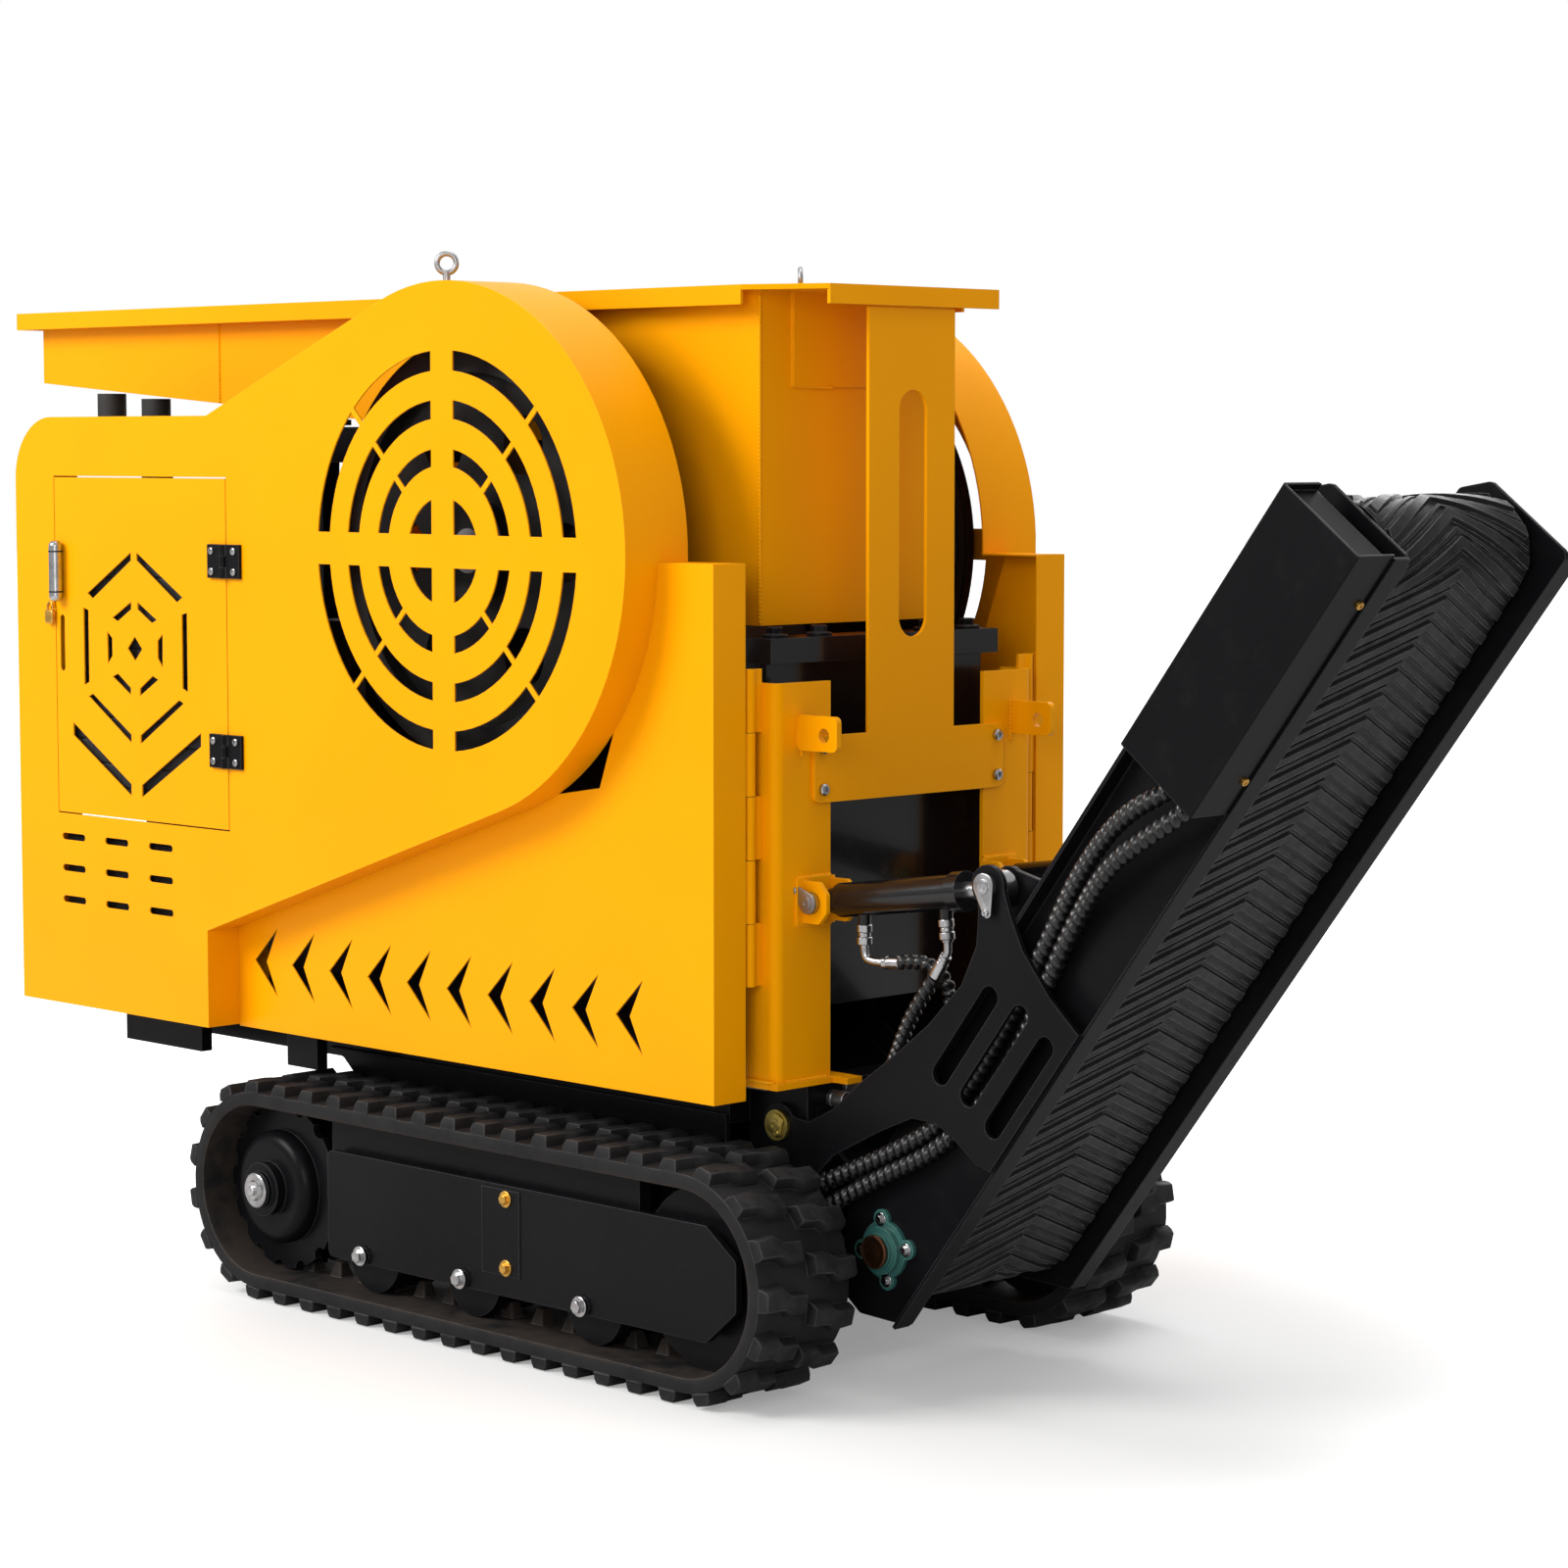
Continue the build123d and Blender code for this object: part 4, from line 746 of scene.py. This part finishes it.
def drop(name, looks):  # flat keeper: a round end over the pin, narrowing to a small one along +X
    keeper = start(name, "circle", vertices=40, radius=looks["big"], fill_type="NGON")
    for point in keeper.data.vertices:
        if point.co.x > looks["big"] * 0.12:
            share = looks["small"] / looks["big"]
            point.co = (point.co.x * share + looks["long"], point.co.y * share, 0)
    editFaces(keeper, lambda centre, normal: True)
    extrude(0, 0, looks["thick"])
    leaveEdit()
    tidyFaces(keeper)
    edges = {"segments": 2, "limit_method": "ANGLE", "angle_limit": radians(50)}
    modify(keeper, "BEVEL", width=looks["thick"] * 0.35, **edges)
    button = roundScrew(name + "Pin", looks["big"] * 0.55, looks["thick"] * 0.5)
    button.data.transform(Matrix.Translation((0, 0, looks["thick"] * 0.98)))
    screw = roundScrew(name + "Screw", looks["small"] * 0.7, looks["thick"])
    screw.data.transform(Matrix.Translation((looks["long"], 0, looks["thick"] * 0.98)))
    return join(name, [keeper, button, screw])


def keeperAt(side, looks):  # over its pin, turned in the side view so that its tail points to a spot
    pin = looks["pin"]
    ahead = (Vector(looks["tail"]) - Vector(pin)).normalized()
    across = Vector((0, side, 0)).cross(ahead)
    turned = Matrix((ahead, across, Vector((0, side, 0)))).transposed().to_4x4()
    return Matrix.Translation((pin[0], side * looks["face"], pin[2])) @ turned


keepers = {
    "baseKeepers": {
        "big": 0.0165, "small": 0.008, "long": 0.03, "thick": 0.004, "face": 0.2419,
        "pin": (0.486, 0, 0.736), "tail": (0.46, 0, 0.755), "finish": (steel, "chassis", "steel"),
    },
    "rodKeepers": {
        "big": 0.0195, "small": 0.008, "long": 0.038, "thick": 0.004, "face": 0.2319,
        "pin": (0.8315, 0, 0.788), "tail": (0.840, 0, 0.745), "finish": (chrome, "conveyor", "chrome"),
    },
    "foldKeepers": {
        "big": 0.019, "small": 0.0075, "long": 0.012, "thick": 0.003, "face": 0.2319,
        "pin": (0.407, 0, 0.389), "tail": (0.415, 0, 0.372), "finish": (goldZinc, "chassis", "gold_zinc"),
    },
}
for name, looks in keepers.items():
    keeper = repeat(drop(name, looks), [keeperAt(side, looks) for side in both])
    done(keeper, *looks["finish"])

ahead = (headAxis - tailAxis).normalized()
upward = Vector((-ahead.z, 0, ahead.x))
span = (headAxis - tailAxis).length


def onConveyor(far, across, high):  # a spot far along the conveyor from its tail, and high above its middle
    at = tailAxis + ahead * far + upward * high
    at.y = across
    return at


guardScrew = {"radius": 0.0062, "high": 0.004, "far": (1.0217, 1.3286), "across": -0.2285, "below": 0.0988}
spots = [facing(onConveyor(far, guardScrew["across"], -guardScrew["below"]), -upward) for far in guardScrew["far"]]
screws = roundScrew("guardScrews", guardScrew["radius"], guardScrew["high"])
done(repeat(screws, spots), brass, "conveyor", "gold_zinc")

bearing = {
    "bolt": {"head": 0.0068, "high": 0.005, "washer": 0.0018}, "circle": 0.046, "flange": 0.1930,
    "cap": (32, 0.0255, 0.004), "capSteps": ((0.003, 0.0012), (0.004, -0.0015), (0.006, 0.001)), "capFace": 0.2122,
}
quarters = [(2 * n + 1) * pi / 4 for n in range(4)]
spots = []
for far in (0, span):
    for side in both:
        for angle in quarters:
            x, z = bearing["circle"] * cos(angle), bearing["circle"] * sin(angle)
            spots.append(facing(onConveyor(far + x, side * bearing["flange"], z), (0, side, 0), angle))
done(repeat(bolt("bearingBolts", bearing["bolt"]), spots), chrome, "conveyor", "chrome")
cap = column("bearingCaps", *bearing["cap"])
insetTop(cap, bearing["capSteps"])
spots = [facing(onConveyor(0, side * bearing["capFace"], 0), (0, side, 0)) for side in both]
done(repeat(cap, spots), bronze, "conveyor", "cast_iron")
print("pins and bearings made")


def fitting(name, at, out, stack):  # collars and hexagons in a row: (sides, radius, length) each
    pieces, reached = [], 0.0
    edges = {"segments": 1, "limit_method": "ANGLE", "angle_limit": radians(50)}
    for sides, radius, long in stack:
        part = column(name, sides, radius, long, reached)
        modify(part, "BEVEL", width=min(0.0012, long / 5), **edges)
        pieces.append(part)
        reached += long - sunk
    made = join(name, pieces)
    made.data.transform(facing(at, out))
    return made


def smoothPipe(name, points, radius):
    smooth = {"radius": radius, "pitch": radius, "groove": 0, "crown": 0}
    return spiralHose(name, routeLine(name + "Line", points), smooth)


nut, collar, neck = (6, 0.0125, 0.012), (24, 0.0098, 0.007), (24, 0.0085, 0.004)
crimp, ridge = (6, 0.0105, 0.008), (24, 0.0088, 0.004)
pipe = {
    "radius": 0.0062,
    "base": [
        (0.5625, -0.2, 0.679), (0.5625, -0.2, 0.664), (0.5675, -0.199, 0.655), (0.585, -0.197, 0.6525),
        (0.604, -0.1945, 0.653),
    ],
    "rod": [(0.7305, -0.2, 0.697), (0.7315, -0.2, 0.686), (0.7305, -0.2005, 0.678), (0.7225, -0.202, 0.6655)],
}
baseParts = [
    fitting("baseNuts", (0.5625, -0.2, 0.7075), (0, 0, -1), [nut, collar, nut]),
    smoothPipe("baseElbow", pipe["base"], pipe["radius"]),
    fitting("baseFerrule", (0.598, -0.1952, 0.6528), (0.987, 0.09, 0.06), [crimp, ridge, (24, 0.0099, 0.02)]),
]
rodParts = [
    fitting("rodNuts", (0.7275, -0.2, 0.7295), (0.1, 0, -1), [nut, collar, nut, neck]),
    smoothPipe("rodElbow", pipe["rod"], pipe["radius"]),
    fitting("rodFerrule", (0.7285, -0.2005, 0.6755), (-0.52, -0.05, -0.85), [crimp, ridge, (24, 0.0099, 0.028)]),
]
for name, parts in (("baseFittings", baseParts), ("rodFittings", rodParts)):
    done(join(name, parts), chrome, "cylinders", "chrome")

motorEnd = {"back": 0.012, "stack": [(6, 0.0165, 0.01), (24, 0.0145, 0.006), (24, 0.0158, 0.034)]}
bulkhead = {"nut": (1.35, 0.01), "sleeve": (1.25, 0.024)}  # times the hose's radius, and long
ends = []
for node in ("motor_hose_a", "motor_hose_b"):
    first, second = (Vector(point) for point in hoseRoutes[node][:2])
    out = (second - first).normalized()
    ends.append(fitting(node, first - out * motorEnd["back"], out, motorEnd["stack"]))
done(join("motorHoseEnds", ends), engineGrey, "conveyor", "engine_paint")
for node, hose in hoses.items():
    last, before = (Vector(point) for point in hoseRoutes[node][:-3:-1])
    stack = [(sides, hose["radius"] * share, long) for sides, (share, long) in zip((6, 24), bulkhead.values())]
    end = fitting("bulkheadEnd", last, before - last, stack)
    end.name = node.replace("_", "") + "End"
    done(end, steel, "chassis", "steel")
print("hose fittings made")

quilt = {"cuts": (12, 14), "seam": 0.006, "crown": 0.12, "deep": 0.025, "thick": 0.004}
linings = {  # quilted lining behind the door's cut-outs, and a dark baffle behind the louvres
    "doorLining": {"body": "door", "x": (-1.136, -0.662), "y": 0.440, "z": (0.79, 1.356)},
    "louvreBaffle": {"body": "cover", "x": (-1.15, -0.80), "y": 0.434, "z": (0.61, 0.76)},
}
for side in both:
    for name, looks in linings.items():
        (rear, front), (low, high) = looks["x"], looks["z"]
        pad = start(name, "grid", x_subdivisions=quilt["cuts"][0], y_subdivisions=quilt["cuts"][1], size=1)
        editFaces(pad, lambda centre, normal: True)
        bpy.ops.mesh.inset(thickness=quilt["seam"], depth=quilt["crown"], use_individual=True)
        leaveEdit()
        pad.data.transform(Matrix.Diagonal((front - rear, high - low, quilt["deep"], 1)))
        pad.data.transform(facing(((rear + front) / 2, side * looks["y"], (low + high) / 2), (0, side, 0)))
        modify(pad, "SOLIDIFY", thickness=quilt["thick"], offset=-1)
        pad.name = bodyOf(side, name)
        done(pad, softRubber, bodyOf(side, looks["body"]), "track_rubber")

handleRing = {"radius": 0.0126, "high": 0.003, "rounding": 0.0006, "x": -1.123, "y": 0.471, "heights": (1.166, 1.236)}
padlock = {
    "size": (0.022, 0.009, 0.024), "rounding": 0.003, "x": -1.151, "y": 0.4645, "z": 1.122,
    "loop": 0.0075, "wire": 0.0018, "legs": 0.006, "rise": 0.018,
}
hasp = {"size": (0.016, 0.005, 0.022), "rounding": 0.0015, "x": -1.151, "y": 0.4605, "z": 1.15}


def openShackle(looks):  # the upper half of a ring, with two short legs
    shackle = start(
        "shackle", "torus", major_radius=looks["loop"], minor_radius=looks["wire"], major_segments=20, minor_segments=8,
    )
    editFaces(shackle, lambda centre, normal: centre.y < 0)
    bpy.ops.mesh.delete(type="FACE")
    bpy.ops.mesh.select_all(action="SELECT")
    bpy.ops.mesh.region_to_loop()
    extrude(0, -looks["legs"], 0)
    leaveEdit()
    shackle.data.transform(Matrix.Translation((0, 0, looks["rise"])) @ Matrix.Rotation(pi / 2, 4, "X"))
    return shackle


for side in both:
    ring = column("handleRing", 28, handleRing["radius"], handleRing["high"], -handleRing["high"] / 2)
    modify(ring, "BEVEL", width=handleRing["rounding"], segments=1)
    spots = [Matrix.Translation((handleRing["x"], side * handleRing["y"], z)) for z in handleRing["heights"]]
    done(repeat(ring, spots, bodyOf(side, "handleRings")), castIron, bodyOf(side, "handle"), "cast_iron")
    body = block("padlock", padlock["size"], (0, 0, 0), padlock["rounding"], 3)
    lock = join(bodyOf(side, "padlock"), [body, openShackle(padlock)])
    lock.data.transform(Matrix.Translation((padlock["x"], side * padlock["y"], padlock["z"])))
    done(lock, brass, bodyOf(side, "cover"), "gold_zinc")
    tab = block(bodyOf(side, "hasp"), hasp["size"], (hasp["x"], side * hasp["y"], hasp["z"]), hasp["rounding"], 2)
    done(tab, yellow, bodyOf(side, "cover"), "yellow_paint")

bead = {"radius": 0.0028, "pitch": 0.006, "groove": 0.25, "crown": 0.08, "steps": 40}
seams = {  # each run's two ends, on the +Y side
    "hopperWelds": (
        ((0.352, 0.211, 1.15), (0.352, 0.211, 1.645)), ((-0.994, 0.2112, 1.494), (-0.994, 0.2112, 1.628)),
        ((0.352, 0.145, 1.508), (0.358, 0.06, 1.508)),
    ),
    "postWelds": (
        ((0.398, 0.2921, 0.4655), (0.44, 0.2921, 0.4655)), ((0.411, 0.2921, 0.4655), (0.4504, 0.2921, 0.4655)),
        ((0.426, 0.2921, 0.4655), (0.4624, 0.2921, 0.4655)), ((0.4645, 0.18, 0.4655), (0.4645, 0.268, 0.4655)),
        ((0.4645, 0.2345, 0.955), (0.4645, 0.2345, 1.018)), ((0.4645, 0.172, 0.6995), (0.4645, 0.244, 0.6995)),
        ((0.4645, 0.172, 0.7725), (0.4645, 0.244, 0.7725)),
    ),
}


def weldBead(side, ends):  # a rippled run of weld between two points
    first, last = (Vector((x, side * y, z)) for x, y, z in ends)
    line = [first.lerp(last, share / bead["steps"]) for share in range(bead["steps"] + 1)]
    return spiralHose("bead", line, bead)


for name, runs in seams.items():
    done(join(name, [weldBead(side, ends) for side in both for ends in runs]), yellow, "chassis", "yellow_paint")
print("linings, locks and welds made")

# the floor's glow, seen only by the camera, is dim near the machine and white further out: a painted shadow under the
# machine
floorGlow = {"centre": (0.3, -0.1, 0.0), "near": 0.8, "far": 1.7, "dim": rgb(0.3, 0.3, 0.3), "strength": 0.9}
stageWhite = Finish("paleFloor", Roughness=0.95)
away = stageWhite.node("VectorMath", {"operation": "SUBTRACT"}, stageWhite.place, floorGlow["centre"])
away = stageWhite.node("VectorMath", {"operation": "LENGTH"}, away, out="Value")
glow = stageWhite.blendOf(away.rise(floorGlow["near"], floorGlow["far"]), floorGlow["dim"], rgb(1, 1, 1))
seenDirectly = stageWhite.node("LightPath", {}, out="Is Camera Ray")
glow = stageWhite.blendOf(seenDirectly, rgb(0, 0, 0), glow)
stageWhite.wear(Base_Color=rgb(0.55, 0.55, 0.55), Emission_Color=glow, Emission_Strength=floorGlow["strength"])
floor = start("floor", "plane", size=80)
floor.data.materials.append(stageWhite.material)
floor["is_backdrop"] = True


lights = {
    "keyLight": {"at": (-2.6, -5.2, 4.6), "towards": (0, 0, 0.8), "size": (3.6, 3.0), "power": 440},
    "fillLight": {"at": (3.4, -5.2, 2.4), "towards": (0.2, -0.1, 0.9), "size": (2.4, 2.4), "power": 100},
    "topLight": {"at": (0, 0.6, 5.2), "towards": (0, 0, 0.6), "size": (4.5, 3.0), "power": 150},
    "backLight": {"at": (-1.5, 6.0, 3.0), "towards": (0, 0, 0.8), "size": (3.0, 3.0), "power": 120},
}
warmWhite = (1.0, 0.99, 0.97)


def softBox(name, looks, colour):
    data = bpy.data.lights.new(name, "AREA")
    data.shape, data.energy, data.color = "RECTANGLE", looks["power"], colour
    data.size, data.size_y = looks["size"]
    lamp = bpy.data.objects.new(name, data)
    lamp.location = looks["at"]
    lamp.rotation_euler = (Vector(looks["towards"]) - Vector(looks["at"])).to_track_quat("-Z", "Y").to_euler()
    bpy.context.collection.objects.link(lamp)


for name, looks in lights.items():
    softBox(name, looks, warmWhite if name in ("keyLight", "fillLight") else (1.0, 1.0, 1.0))
world = bpy.data.worlds.new("paleRoom")
bpy.context.scene.world = world
world.use_nodes = True
sky = world.node_tree.nodes["Background"]
sky.inputs["Color"].default_value = rgb(1, 1, 1)
seen = world.node_tree.nodes.new("ShaderNodeLightPath")
power = world.node_tree.nodes.new("ShaderNodeMapRange")
room = {"asLight": 0.6, "behind": 1.0}  # full white behind the object, softer as light
power.inputs["To Min"].default_value, power.inputs["To Max"].default_value = room["asLight"], room["behind"]
world.node_tree.links.new(seen.outputs["Is Camera Ray"], power.inputs["Value"])
world.node_tree.links.new(power.outputs["Result"], sky.inputs["Strength"])

bpy.context.scene.view_settings.view_transform = "Standard"
camera = {"at": (4.599, -4.4035, 1.420), "azimuth": 45.02, "down": 4.93, "lens": 90.3, "sensor": 36, "reach": 200}
cameraData = bpy.data.cameras.new("camera")
cameraData.lens, cameraData.sensor_width = camera["lens"], camera["sensor"]
cameraData.clip_end = camera["reach"]
viewer = bpy.data.objects.new("camera", cameraData)
viewer.location = camera["at"]
viewer.rotation_euler = (radians(90 - camera["down"]), 0, radians(camera["azimuth"]))
bpy.context.collection.objects.link(viewer)
bpy.context.scene.camera = viewer
print("stage and camera set")

low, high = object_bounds()
